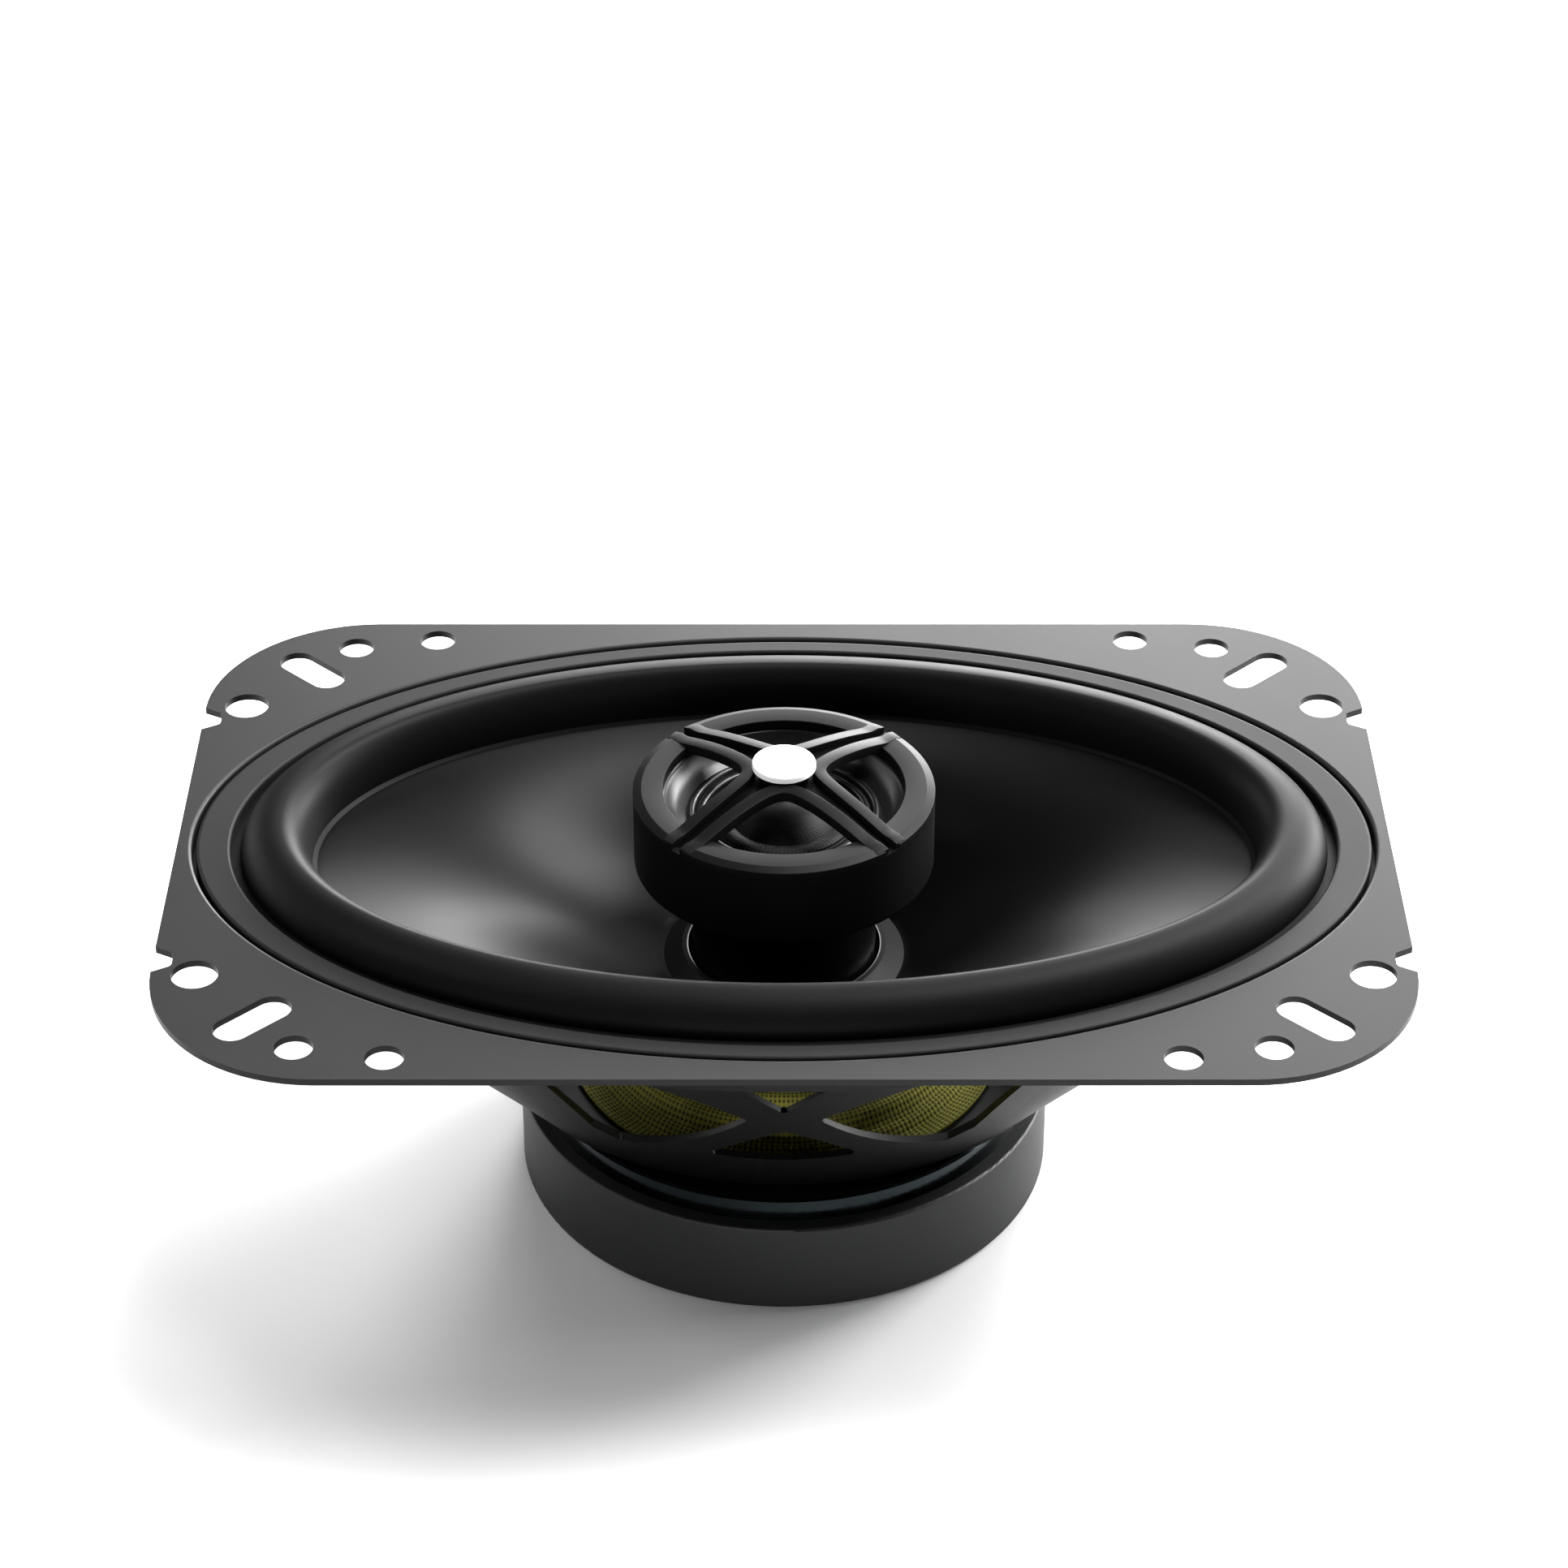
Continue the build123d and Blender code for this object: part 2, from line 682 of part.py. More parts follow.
pot_bottom = cup_bottom + cup_floor
with BuildPart() as tweeter_pot:
    with BuildSketch(Plane.XY.offset(pot_bottom)):
        Circle(pot_r)
    extrude(amount=pot_height)
    with BuildSketch(Plane.XY.offset(pot_bottom + pot_floor)):
        Circle(tweeter_coil_inner + pot_gap)
    extrude(amount=pot_height - pot_floor, mode=Mode.SUBTRACT)
tweeter_pot.part.label = "tweeter_pot"
export_step(tweeter_pot.part, "parts/tweeter_pot.step")

with BuildPart() as tweeter_magnet:
    with BuildSketch(Plane.XY.offset(pot_bottom + pot_floor)):
        Circle(pot_magnet_r)
    extrude(amount=pot_magnet_height)
tweeter_magnet.part.label = "tweeter_magnet"
export_step(tweeter_magnet.part, "parts/tweeter_magnet.step")

with BuildPart() as tweeter_top_plate:
    with BuildSketch(Plane.XY.offset(pot_bottom + pot_floor + pot_magnet_height)):
        Circle(tweeter_coil_inner - tweeter_coil_wall)
    extrude(amount=pot_plate_height)
tweeter_top_plate.part.label = "tweeter_top_plate"
export_step(tweeter_top_plate.part, "parts/tweeter_top_plate.step")

with BuildPart() as diaphragm_ring:
    tube(
        diaphragm_ring_r,
        pot_r - diaphragm_ring_overlap,
        pot_bottom + pot_height,
        dome_z - tweeter_film - pot_bottom - pot_height,
    )
diaphragm_ring.part.label = "diaphragm_ring"
export_step(diaphragm_ring.part, "parts/diaphragm_ring.step")

with BuildPart() as tweeter_surround:
    with BuildSketch(Plane.XZ):
        with BuildLine():
            ThreePointArc(
                (tweeter_roll_inner, dome_z),
                (tweeter_roll_middle, dome_z + tweeter_roll_rise),
                (tweeter_roll_foot, dome_z),
            )
            Polyline(
                (tweeter_roll_foot, dome_z),
                (tweeter_roll_outer, dome_z),
                (tweeter_roll_outer, dome_z - tweeter_film),
                (tweeter_roll_foot - tweeter_film, dome_z - tweeter_film),
            )
            ThreePointArc(
                (tweeter_roll_foot - tweeter_film, dome_z - tweeter_film),
                (tweeter_roll_middle, dome_z + tweeter_roll_under),
                (tweeter_roll_inner + tweeter_film, dome_z - tweeter_film),
            )
            Line((tweeter_roll_inner + tweeter_film, dome_z - tweeter_film), (tweeter_roll_inner, dome_z))
        make_face()
    revolve(axis=Axis.Z)
tweeter_surround.part.label = "tweeter_surround"
export_step(tweeter_surround.part, "parts/tweeter_surround.step")

# the dome is a cap of a sphere with its centre on the axis
cap_r = (dome_r**2 + dome_height**2) / (2 * dome_height)
cap_inner_r = cap_r - dome_wall
cap_centre_z = dome_z + dome_height - cap_r
cap_angle = asin(dome_r / cap_r)
inner_angle = acos((dome_z - cap_centre_z) / cap_inner_r)


def cap_point(sphere_r, angle):
    """Point of the dome's half section at an angle from the axis."""
    return (sphere_r * sin(angle), cap_centre_z + sphere_r * cos(angle))


with BuildPart() as tweeter_dome:
    with BuildSketch(Plane.XZ):
        with BuildLine():
            ThreePointArc((dome_r, dome_z), cap_point(cap_r, cap_angle / 2), cap_point(cap_r, 0))
            Line(cap_point(cap_r, 0), cap_point(cap_inner_r, 0))
            ThreePointArc(
                cap_point(cap_inner_r, 0),
                cap_point(cap_inner_r, inner_angle / 2),
                cap_point(cap_inner_r, inner_angle),
            )
            Line(cap_point(cap_inner_r, inner_angle), (dome_r, dome_z))
        make_face()
    revolve(axis=Axis.Z)
tweeter_dome.part.label = "tweeter_dome"
export_step(tweeter_dome.part, "parts/tweeter_dome.step")

with BuildPart() as tweeter_voice_coil:
    tube(
        tweeter_coil_inner + tweeter_coil_wall,
        tweeter_coil_inner,
        pot_bottom + tweeter_coil_drop,
        dome_z - pot_bottom - tweeter_coil_drop,
    )
tweeter_voice_coil.part.label = "tweeter_voice_coil"
export_step(tweeter_voice_coil.part, "parts/tweeter_voice_coil.step")

waveguide_seat_r = cup_r - cup_wall - waveguide_gap
waveguide_under = bezel_bottom - waveguide_wall
with BuildPart() as waveguide:
    with BuildSketch(Plane.XZ):
        with BuildLine():
            ThreePointArc(
                (waveguide_throat_r, dome_z),
                (waveguide_middle_r, waveguide_middle_z),
                (bezel_inner_r, bezel_bottom),
            )
            Polyline(
                (bezel_inner_r, bezel_bottom),
                (waveguide_seat_r, bezel_bottom),
                (waveguide_seat_r, waveguide_under),
                (bezel_inner_r, waveguide_under),
            )
            ThreePointArc(
                (bezel_inner_r, waveguide_under),
                (waveguide_middle_r, waveguide_middle_z - waveguide_wall),
                (waveguide_throat_r, dome_z - tweeter_film),
            )
            Line((waveguide_throat_r, dome_z - tweeter_film), (waveguide_throat_r, dome_z))
        make_face()
    revolve(axis=Axis.Z)
waveguide.part.label = "waveguide"
export_step(waveguide.part, "parts/waveguide.step")


def crown_layer(top_drop, bottom_drop):
    """Half section of a shell that follows the grille's low crown."""
    with BuildLine() as layer_edges:
        for drop in (top_drop, bottom_drop):
            foot = (crown_foot[0], crown_foot[1] - drop)
            Line((crown_rim[0], crown_rim[1] - drop), foot)
            ThreePointArc(foot, (crown_shoulder[0], crown_shoulder[1] - drop), (0, crown_top - drop))
        Line((0, crown_top - top_drop), (0, crown_top - bottom_drop))
        Line((crown_rim[0], crown_rim[1] - top_drop), (crown_rim[0], crown_rim[1] - bottom_drop))
    make_face(layer_edges.edges())


def rail_side(offset):
    """Side of the rail round the first opening: a hyperbola moved sideways by an offset."""
    start = (channel_width + rail_width) / sqrt(2)
    points = []
    for step in range(-6, 7):
        y = rail_reach * (0.35 * step / 6 + 0.65 * (step / 6) ** 3)
        span = sqrt(y**2 + apex_round**2)
        slope = y / span
        run = sqrt(1 + slope**2)
        points.append((start + span - offset / run, y + offset * slope / run))
    return points


def rail_outlines():
    """Plan of the four rails, one round each opening."""
    hub_side = rail_side(rail_width / 2)
    opening_side = rail_side(-rail_width / 2)
    with BuildLine() as outline_edges:
        Spline(*hub_side)
        Spline(*opening_side)
        Line(hub_side[0], opening_side[0])
        Line(hub_side[-1], opening_side[-1])
    first_rail = make_face(outline_edges.edges())
    for turn in (90, 180, 270):
        add(first_rail.rotate(Axis.Z, turn))


with BuildPart() as grille_rails:
    with BuildSketch(Plane.XZ):
        crown_layer(0, rail_depth)
    revolve(axis=Axis.Z)
    with BuildSketch(Plane.XY.offset(bezel_bottom - 1)):
        rail_outlines()
    extrude(amount=bezel_z, mode=Mode.INTERSECT)

with BuildPart() as tweeter_grille:
    with BuildSketch(Plane.XZ):
        with BuildLine():
            Polyline(
                (bezel_inner_r, bezel_bottom),
                (cup_r, bezel_bottom),
                (cup_r, bezel_z - bezel_bevel),
                (bezel_flat_r, bezel_z),
                (bezel_inner_r, bezel_z),
                close=True,
            )
        make_face()
    revolve(axis=Axis.Z)
    # the channel between two rails runs on through the bezel
    with BuildSketch(Plane.XY.offset(crown_rim[1] - channel_depth)):
        with PolarLocations(cup_r, 4, start_angle=45):
            Rectangle(2 * (cup_r - bezel_inner_r) + 2, channel_width)
    extrude(amount=channel_depth, mode=Mode.SUBTRACT)
    add(grille_rails.part)
tweeter_grille.part.label = "tweeter_grille"
export_step(tweeter_grille.part, "parts/tweeter_grille.step")

# dark floor of the channels, with a boss under the badge
with BuildPart() as grille_inlay:
    with BuildSketch(Plane.XZ):
        crown_layer(channel_depth, rail_depth)
    revolve(axis=Axis.Z)
    with BuildSketch(Plane.XY.offset(bezel_bottom - 1)):
        Circle(bezel_inner_r)
    extrude(amount=bezel_z, mode=Mode.INTERSECT)
    with BuildSketch(Plane.XY.offset(bezel_bottom - 1)):
        opening_side = rail_side(rail_width / 2)
        with BuildLine() as opening_edges:
            Spline(*opening_side)
            Line(opening_side[-1], (2 * cup_r, opening_side[-1][1]))
            Line((2 * cup_r, opening_side[-1][1]), (2 * cup_r, opening_side[0][1]))
            Line((2 * cup_r, opening_side[0][1]), opening_side[0])
        first_opening = make_face(opening_edges.edges())
        for turn in (90, 180, 270):
            add(first_opening.rotate(Axis.Z, turn))
    extrude(amount=bezel_z, mode=Mode.SUBTRACT)
    with BuildSketch(Plane.XY.offset(crown_top - rail_depth)):
        Circle(hub_r)
    extrude(amount=badge_top - badge_thickness - crown_top + rail_depth)
grille_inlay.part.label = "grille_inlay"
export_step(grille_inlay.part, "parts/grille_inlay.step")

with BuildPart() as badge_disc:
    with BuildSketch(Plane.XY.offset(badge_top - badge_thickness)):
        Circle(badge_r)
    extrude(amount=badge_thickness)
    fillet(badge_disc.edges().filter_by(GeomType.CIRCLE).group_by(Axis.Z)[-1], 0.3)
badge_disc.part.label = "badge_disc"
export_step(badge_disc.part, "parts/badge_disc.step")


# ---- terminal board on the rear panel, its blades, rivet and tinsel leads ----
with BuildPart() as terminal_board:
    with BuildSketch(rear_panel):
        RectangleRounded(board_width, board_height, 1.5)
        Circle(rivet_r, mode=Mode.SUBTRACT)
    extrude(amount=board_thickness)
terminal_board.part.label = "terminal_board"
export_step(terminal_board.part, "parts/terminal_board.step")

inner_head_drop = 1.1
with BuildPart() as terminal_rivet:
    with BuildSketch(rear_panel.offset(-inner_head_drop)):
        Circle(rivet_r)
    extrude(amount=inner_head_drop + board_thickness)
    with BuildSketch(rear_panel.offset(board_thickness)):
        Circle(rivet_head_r)
    extrude(amount=rivet_head)
    with BuildSketch(rear_panel.offset(-inner_head_drop)):
        Circle(rivet_head_r)
    extrude(amount=-rivet_head)
terminal_rivet.part.label = "terminal_rivet"
export_step(terminal_rivet.part, "parts/terminal_rivet.step")

for blade_name, side, blade_width in (
    ("positive_terminal", 1, positive_blade_width),
    ("negative_terminal", -1, negative_blade_width),
):
    with BuildPart() as blade:
        with BuildSketch(rear_panel.offset(board_thickness)):
            with Locations((side * blade_x, 0)):
                Rectangle(blade_width, 6.0)
        extrude(amount=blade_thickness)
        with BuildSketch(rear_panel.offset(board_thickness)):
            with Locations((side * blade_x, -3.0 + blade_thickness / 2)):
                Rectangle(blade_width, blade_thickness)
        extrude(amount=blade_length)
    blade.part.label = blade_name
    export_step(blade.part, f"parts/{blade_name}.step")

for lead_name, side in (("positive_tinsel_lead", 1), ("negative_tinsel_lead", -1)):
    with BuildPart() as tinsel_lead:
        wire(
            [
                (side * tinsel_x, panel_y, terminal_z),
                (side * tinsel_x, panel_y - 3.0, terminal_z + 1.5),
                (side * 7.4, 30.2, -18.0),
                (side * 7.2, 25.6, -20.3),
                (side * eyelet_x, eyelet_y, -18.6),
                (side * eyelet_x, eyelet_y, eyelet_bottom),
            ],
            tinsel_r,
            [1.5, 4.5, 2.5, 1.8],
        )
    tinsel_lead.part.label = lead_name
    export_step(tinsel_lead.part, f"parts/{lead_name}.step")

with BuildPart() as lead_eyelets:
    with BuildSketch(Plane.XY.offset(eyelet_bottom)):
        with Locations((-eyelet_x, eyelet_y), (eyelet_x, eyelet_y)):
            Circle(eyelet_r)
    extrude(amount=eyelet_top - eyelet_bottom)
lead_eyelets.part.label = "lead_eyelets"
export_step(lead_eyelets.part, "parts/lead_eyelets.step")

print("tweeter cable length", round(cable_length, 1))
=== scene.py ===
from math import asin, atan2, cos, hypot, pi, radians, sin, sqrt, tan

import bpy
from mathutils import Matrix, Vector


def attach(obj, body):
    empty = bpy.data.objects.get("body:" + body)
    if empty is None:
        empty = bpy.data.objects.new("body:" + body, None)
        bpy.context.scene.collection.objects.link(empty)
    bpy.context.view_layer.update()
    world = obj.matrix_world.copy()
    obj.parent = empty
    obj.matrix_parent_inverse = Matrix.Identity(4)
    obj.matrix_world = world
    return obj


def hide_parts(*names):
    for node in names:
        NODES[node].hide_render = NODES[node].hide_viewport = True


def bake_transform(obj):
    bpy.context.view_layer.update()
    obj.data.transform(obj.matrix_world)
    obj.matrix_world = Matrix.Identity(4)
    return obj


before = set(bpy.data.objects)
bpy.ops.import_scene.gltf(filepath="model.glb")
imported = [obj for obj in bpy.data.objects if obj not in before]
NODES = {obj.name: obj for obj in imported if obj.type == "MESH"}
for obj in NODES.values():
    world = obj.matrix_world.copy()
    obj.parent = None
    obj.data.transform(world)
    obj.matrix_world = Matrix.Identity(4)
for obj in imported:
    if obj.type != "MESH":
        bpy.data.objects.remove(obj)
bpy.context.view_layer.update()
MM = 0.001

# Millimetres in the row frame: Z = 0 is the flange's rear face, X the oval's long axis.
LEDGE_Z = -1.3
FOOT = 0.6
RING_OUTER = (75.2, 47.5)
ROLL_OUTER = (69.6, 42.3)
ROLL_INNER = (60.5, 34.1)
CREST = (64.2, 37.0)
ROLL_INNER_Z = -2.5
CREST_Z = 3.9
CONE_RIM = (60.4, 33.9)
CONE_RIM_Z = -2.6
CONE_NECK_R = 15.74
CONE_NECK_Z = -17.5
CONE_WALL = 0.8
FORMER_R = 12.65
SPIDER_TOP = (12.75, -20.2)
SPIDER_LANDING = (26.0, 28.3)
BASKET_FLOOR = -31.8
BEZEL_R = 19.25
BEZEL_Z = (6.9, 8.3)
BEZEL_FLAT_R = 18.17
BEZEL_INNER_R = 15.4
BADGE_R = 4.05
BADGE_Z = (11.2, 12.0)
FLOOR_Z = -48.9
AROUND = 256
HAIR = 0.02  # clearance that keeps neighbouring faces apart
HALVINGS = 40
LATHE_LINES_PER_MM = 4.5
WEAVE_SLOPE = 1.25


# ---------------------------------------------------------------- meshes
def new_piece(name, points, faces, sharp_angle):
    """Mesh object from points in millimetres, shaded smooth below the sharp angle."""
    mesh = bpy.data.meshes.new(name)
    mesh.from_pydata([(x * MM, y * MM, z * MM) for x, y, z in points], [], faces)
    mesh.update()
    mesh.shade_smooth()
    mesh.set_sharp_from_angle(angle=radians(sharp_angle))
    piece = bpy.data.objects.new(name, mesh)
    bpy.context.scene.collection.objects.link(piece)
    return piece


def grid_faces(rows, columns, wrap_rows=True):
    """Quads of a grid whose points run column by column within each row."""
    faces = []
    for row in range(rows if wrap_rows else rows - 1):
        here = row * columns
        after = (row + 1) % rows * columns
        for i in range(columns):
            j = (i + 1) % columns
            faces.append((here + i, after + i, after + j, here + j))
    return faces


def oval_sweep(name, profile, around, sharp_angle):
    """Carries a closed profile of (half length X, half length Y, Z) once round the oval."""
    points = []
    for step in range(around):
        angle = 2 * pi * step / around
        points += [(a * cos(angle), b * sin(angle), z) for a, b, z in profile]
    return new_piece(name, points, grid_faces(around, len(profile)), sharp_angle)


def revolve(name, profile, around, sharp_angle):
    """Turns a closed profile of (radius, Z) once round the axis."""
    return oval_sweep(name, [(r, r, z) for r, z in profile], around, sharp_angle)


def cap_of_revolution(name, profile, around, sharp_angle):
    """Turns an open profile that starts and ends on the axis; both ends close in one point."""
    inner = profile[1:-1]
    points = [(0, 0, profile[0][1]), (0, 0, profile[-1][1])]
    for step in range(around):
        angle = 2 * pi * step / around
        points += [(r * cos(angle), r * sin(angle), z) for r, z in inner]
    count = len(inner)
    faces = []
    for step in range(around):
        here = 2 + step * count
        after = 2 + (step + 1) % around * count
        faces.append((0, here, after))
        faces += [(here + i, here + i + 1, after + i + 1, after + i) for i in range(count - 1)]
        faces.append((here + count - 1, 1, after + count - 1))
    return new_piece(name, points, faces, sharp_angle)


def rounded(profile, radius, steps=5):
    """Closed profile of (r, z) corners, each rounded by the radius or by its own third value."""
    made = []
    count = len(profile)
    for i in range(count):
        corner = Vector(profile[i][:2])
        to_before = Vector(profile[i - 1][:2]) - corner
        to_after = Vector(profile[(i + 1) % count][:2]) - corner
        size = profile[i][2] if len(profile[i]) > 2 else radius
        if size <= 0:
            made.append(tuple(corner))
            continue
        half_turn = to_before.angle(to_after) / 2
        reach = min(size / tan(half_turn), 0.45 * to_before.length, 0.45 * to_after.length)
        start = corner + to_before.normalized() * reach
        end = corner + to_after.normalized() * reach
        for k in range(steps + 1):
            t = k / steps
            made.append(tuple(start * (1 - t) ** 2 + corner * (2 * t * (1 - t)) + end * t**2))
    return made


def mix(a, b, t):
    return a + (b - a) * t


def mix_pair(a, b, t):
    return (mix(a[0], b[0], t), mix(a[1], b[1], t))


def rounded_route(points, bends, step):
    """Points along straight runs joined by arcs of the given bend radii."""
    corners = [Vector(p) for p in points]
    route = [corners[0]]
    for corner, before, after, bend in zip(corners[1:-1], corners, corners[2:], bends):
        to_before = (before - corner).normalized()
        to_after = (after - corner).normalized()
        half_turn = to_before.angle(to_after) / 2
        reach = bend / tan(half_turn)
        centre = corner + (to_before + to_after).normalized() * (bend / sin(half_turn))
        start = corner + to_before * reach - centre
        end = corner + to_after * reach - centre
        turn = start.angle(end)
        count = max(3, int(turn * bend / step))
        for k in range(count + 1):
            t = k / count
            arc = (start * sin((1 - t) * turn) + end * sin(t * turn)) / sin(turn)
            route.append(centre + arc)
    route.append(corners[-1])
    dense = [route[0]]
    for a, b in zip(route, route[1:]):
        count = max(1, int((b - a).length / step))
        dense += [a.lerp(b, (k + 1) / count) for k in range(count)]
    return dense


def tube(route, radius, sides, twist, offset, phase):
    """Round strand that winds round a route at an offset, with twist in radians to the mm."""
    side = (route[1] - route[0]).cross(Vector((0.31, 0.17, 0.93))).normalized()
    rings = []
    travelled = 0.0
    for i, point in enumerate(route):
        ahead = route[min(i + 1, len(route) - 1)]
        behind = route[max(i - 1, 0)]
        along = (ahead - behind).normalized()
        side = (side - along * side.dot(along)).normalized()
        up = along.cross(side)
        if i:
            travelled += (point - route[i - 1]).length
        wind = phase + twist * travelled
        middle = point + (side * cos(wind) + up * sin(wind)) * offset
        rings.append([
            middle + (side * cos(2 * pi * k / sides) + up * sin(2 * pi * k / sides)) * radius
            for k in range(sides)
        ])
    points = [tuple(p) for ring in rings for p in ring]
    faces = [tuple(reversed(f)) for f in grid_faces(len(rings), sides, wrap_rows=False)]
    faces.append(tuple(range(sides)))
    faces.append(tuple(reversed(range(len(points) - sides, len(points)))))
    return points, faces


def joined(name, parts, sharp_angle):
    """One piece from several (points, faces) lists."""
    points = []
    faces = []
    for part_points, part_faces in parts:
        start = len(points)
        points += part_points
        faces += [tuple(start + i for i in face) for face in part_faces]
    return new_piece(name, points, faces, sharp_angle)


# ---------------------------------------------------------------- materials
class Finish:
    """A Principled material with procedural detail on object coordinates."""

    def __init__(self, name, colour, roughness, metallic=0.0, **sockets):
        self.material = bpy.data.materials.new(name)
        self.material.use_nodes = True
        self.material.diffuse_color = (*colour, 1)
        self.tree = self.material.node_tree
        self.shader = self.tree.nodes["Principled BSDF"]
        self.colour = colour
        self.height = None
        self.put("Base Color", (*colour, 1))
        self.put("Roughness", roughness)
        self.put("Metallic", metallic)
        for key, value in sockets.items():
            self.put(key.replace("_", " "), value)
        self.coords = self.node("ShaderNodeTexCoord").outputs["Object"]

    def put(self, socket, value):
        self.shader.inputs[socket].default_value = value

    def node(self, kind, inputs=None, **settings):
        made = self.tree.nodes.new(kind)
        for key, value in settings.items():
            setattr(made, key, value)
        for key, value in (inputs or {}).items():
            if isinstance(value, bpy.types.NodeSocket):
                self.tree.links.new(value, made.inputs[key])
            else:
                made.inputs[key].default_value = value
        return made

    def link(self, output, socket):
        self.tree.links.new(output, self.shader.inputs[socket])

    def noise(self, per_mm, detail=2.0, roughness=0.5):
        """Noise from 0 to 1 with about that many features to a millimetre."""
        return self.node(
            "ShaderNodeTexNoise",
            {
                "Vector": self.coords,
                "Scale": per_mm / MM,
                "Detail": detail,
                "Roughness": roughness,
            },
        ).outputs["Fac"]

    def ramp(self, value, low, high, out_low=0.0, out_high=1.0):
        return self.node(
            "ShaderNodeMapRange",
            {
                "Value": value,
                "From Min": low,
                "From Max": high,
                "To Min": out_low,
                "To Max": out_high,
            },
        ).outputs["Result"]

    def math(self, operation, a, b=0.0):
        return self.node("ShaderNodeMath", {0: a, 1: b}, operation=operation).outputs["Value"]

    def bump(self, height, depth_mm):
        """Adds a bump of about that depth on top of the bumps made so far."""
        inputs = {"Height": height, "Distance": depth_mm * MM, "Strength": 1.0}
        if self.height is not None:
            inputs["Normal"] = self.height
        self.height = self.node("ShaderNodeBump", inputs).outputs["Normal"]
        self.link(self.height, "Normal")

    def shade(self, value, low, high):
        """Base colour from the finish's own colour times low at 0 to times high at 1."""
        mixed = self.node("ShaderNodeMix", {"Factor": value}, data_type="RGBA")
        mixed.inputs[6].default_value = (*[c * low for c in self.colour], 1)
        mixed.inputs[7].default_value = (*[c * high for c in self.colour], 1)
        self.link(mixed.outputs[2], "Base Color")

    def worn(self, spread, per_mm=0.05):
        """Slow, slight change of roughness over the surface."""
        middle = self.shader.inputs["Roughness"].default_value
        gloss = self.ramp(self.noise(per_mm, 3.0), 0.3, 0.7, middle - spread, middle + spread)
        self.link(gloss, "Roughness")


def satin_finish(name, colour, roughness, grain_per_mm, grain_depth, shade_below=None, **more):
    """Moulded or painted finish: fine grain, a slow change in gloss, a faint cloud in the colour.
    The optional heights (upper Z, lower Z, share) darken the colour between these heights to that
    share, and below them it stays so: painted shade, the paint itself is the same."""
    finish = Finish(name, colour, roughness, **more)
    finish.bump(finish.noise(grain_per_mm, 3.0, 0.6), grain_depth)
    finish.worn(0.03)
    cloud_and_shade = finish.noise(0.08, 4.0)
    if shade_below:
        # painted shade: the base colour is cut to the given share below the given heights
        height = finish.node("ShaderNodeSeparateXYZ", {"Vector": finish.coords}).outputs["Z"]
        painted_shade = finish.ramp(height, shade_below[1] * MM, shade_below[0] * MM, shade_below[2], 1.0)
        cloud_and_shade = finish.math("MULTIPLY", finish.ramp(cloud_and_shade, 0.0, 1.0, 0.85, 1.15), painted_shade)
        finish.shade(cloud_and_shade, 0.0, 1.0)
    else:
        finish.shade(cloud_and_shade, 0.85, 1.15)
    return finish.material


def brushed_finish(name, colour, roughness, turns=True, **more):
    """Machined or plated metal with fine lathe lines round the axis."""
    finish = Finish(name, colour, roughness, 1.0, **more)
    split = finish.node("ShaderNodeSeparateXYZ", {"Vector": finish.coords})
    flat = finish.node("ShaderNodeCombineXYZ", {"X": split.outputs["X"], "Y": split.outputs["Y"]})
    radius = finish.node(
        "ShaderNodeVectorMath", {0: flat.outputs["Vector"]}, operation="LENGTH"
    ).outputs["Value"]
    line_input = finish.math("ADD", radius, split.outputs["Z"]) if turns else split.outputs["X"]
    lines = finish.node(
        "ShaderNodeTexNoise",
        {"W": line_input, "Scale": LATHE_LINES_PER_MM / MM, "Detail": 2.0},
        noise_dimensions="1D",
    ).outputs["Fac"]
    finish.bump(lines, 0.003)
    finish.bump(finish.noise(0.6, 3.0), 0.004)
    finish.worn(0.06, 0.12)
    finish.shade(finish.noise(0.15, 4.0), 0.8, 1.15)
    return finish.material


def woven_finish(name, colour, roughness, pitch_mm, middle_r, depth_mm, gap_colour, **more):
    """Diagonal weave on a round cloth; pitch_mm is met at middle_r, in mm from the axis."""
    finish = Finish(name, colour, roughness, **more)
    split = finish.node("ShaderNodeSeparateXYZ", {"Vector": finish.coords})
    x, y = split.outputs["X"], split.outputs["Y"]
    around = finish.math("MULTIPLY", finish.math("ARCTAN2", y, x), round(pi * middle_r / pitch_mm))
    squares = finish.math("ADD", finish.math("MULTIPLY", x, x), finish.math("MULTIPLY", y, y))
    out = finish.math("MULTIPLY", finish.math("SQRT", squares), WEAVE_SLOPE * pi / (pitch_mm * MM))
    thread_a = finish.math("SINE", finish.math("ADD", around, out))
    thread_b = finish.math("SINE", finish.math("SUBTRACT", around, out))
    over = finish.math("MULTIPLY", thread_a, thread_b)
    height = finish.ramp(over, -1.0, 1.0)
    finish.bump(height, depth_mm)
    finish.bump(finish.noise(5.0, 3.0), depth_mm * 0.15)
    threads = finish.ramp(over, -0.75, 0.15)
    fuzz = finish.ramp(finish.noise(0.12, 4.0), 0.3, 0.7, 0.75, 1.1)
    mixed = finish.node("ShaderNodeMix", {"Factor": threads}, data_type="RGBA")
    mixed.inputs[6].default_value = (*gap_colour, 1)
    mixed.inputs[7].default_value = (*colour, 1)
    shaded = finish.node("ShaderNodeVectorMath", {0: mixed.outputs[2]}, operation="SCALE")
    finish.tree.links.new(fuzz, shaded.inputs["Scale"])
    finish.link(shaded.outputs["Vector"], "Base Color")
    return finish.material


def dark(name, colour, roughness, specular, grain_per_mm, grain_depth, shade_below=None):
    """Black or dark plastic, rubber or paint with a low specular level."""
    grain = (grain_per_mm, grain_depth)
    return satin_finish(name, colour, roughness, *grain, shade_below, Specular_IOR_Level=specular)
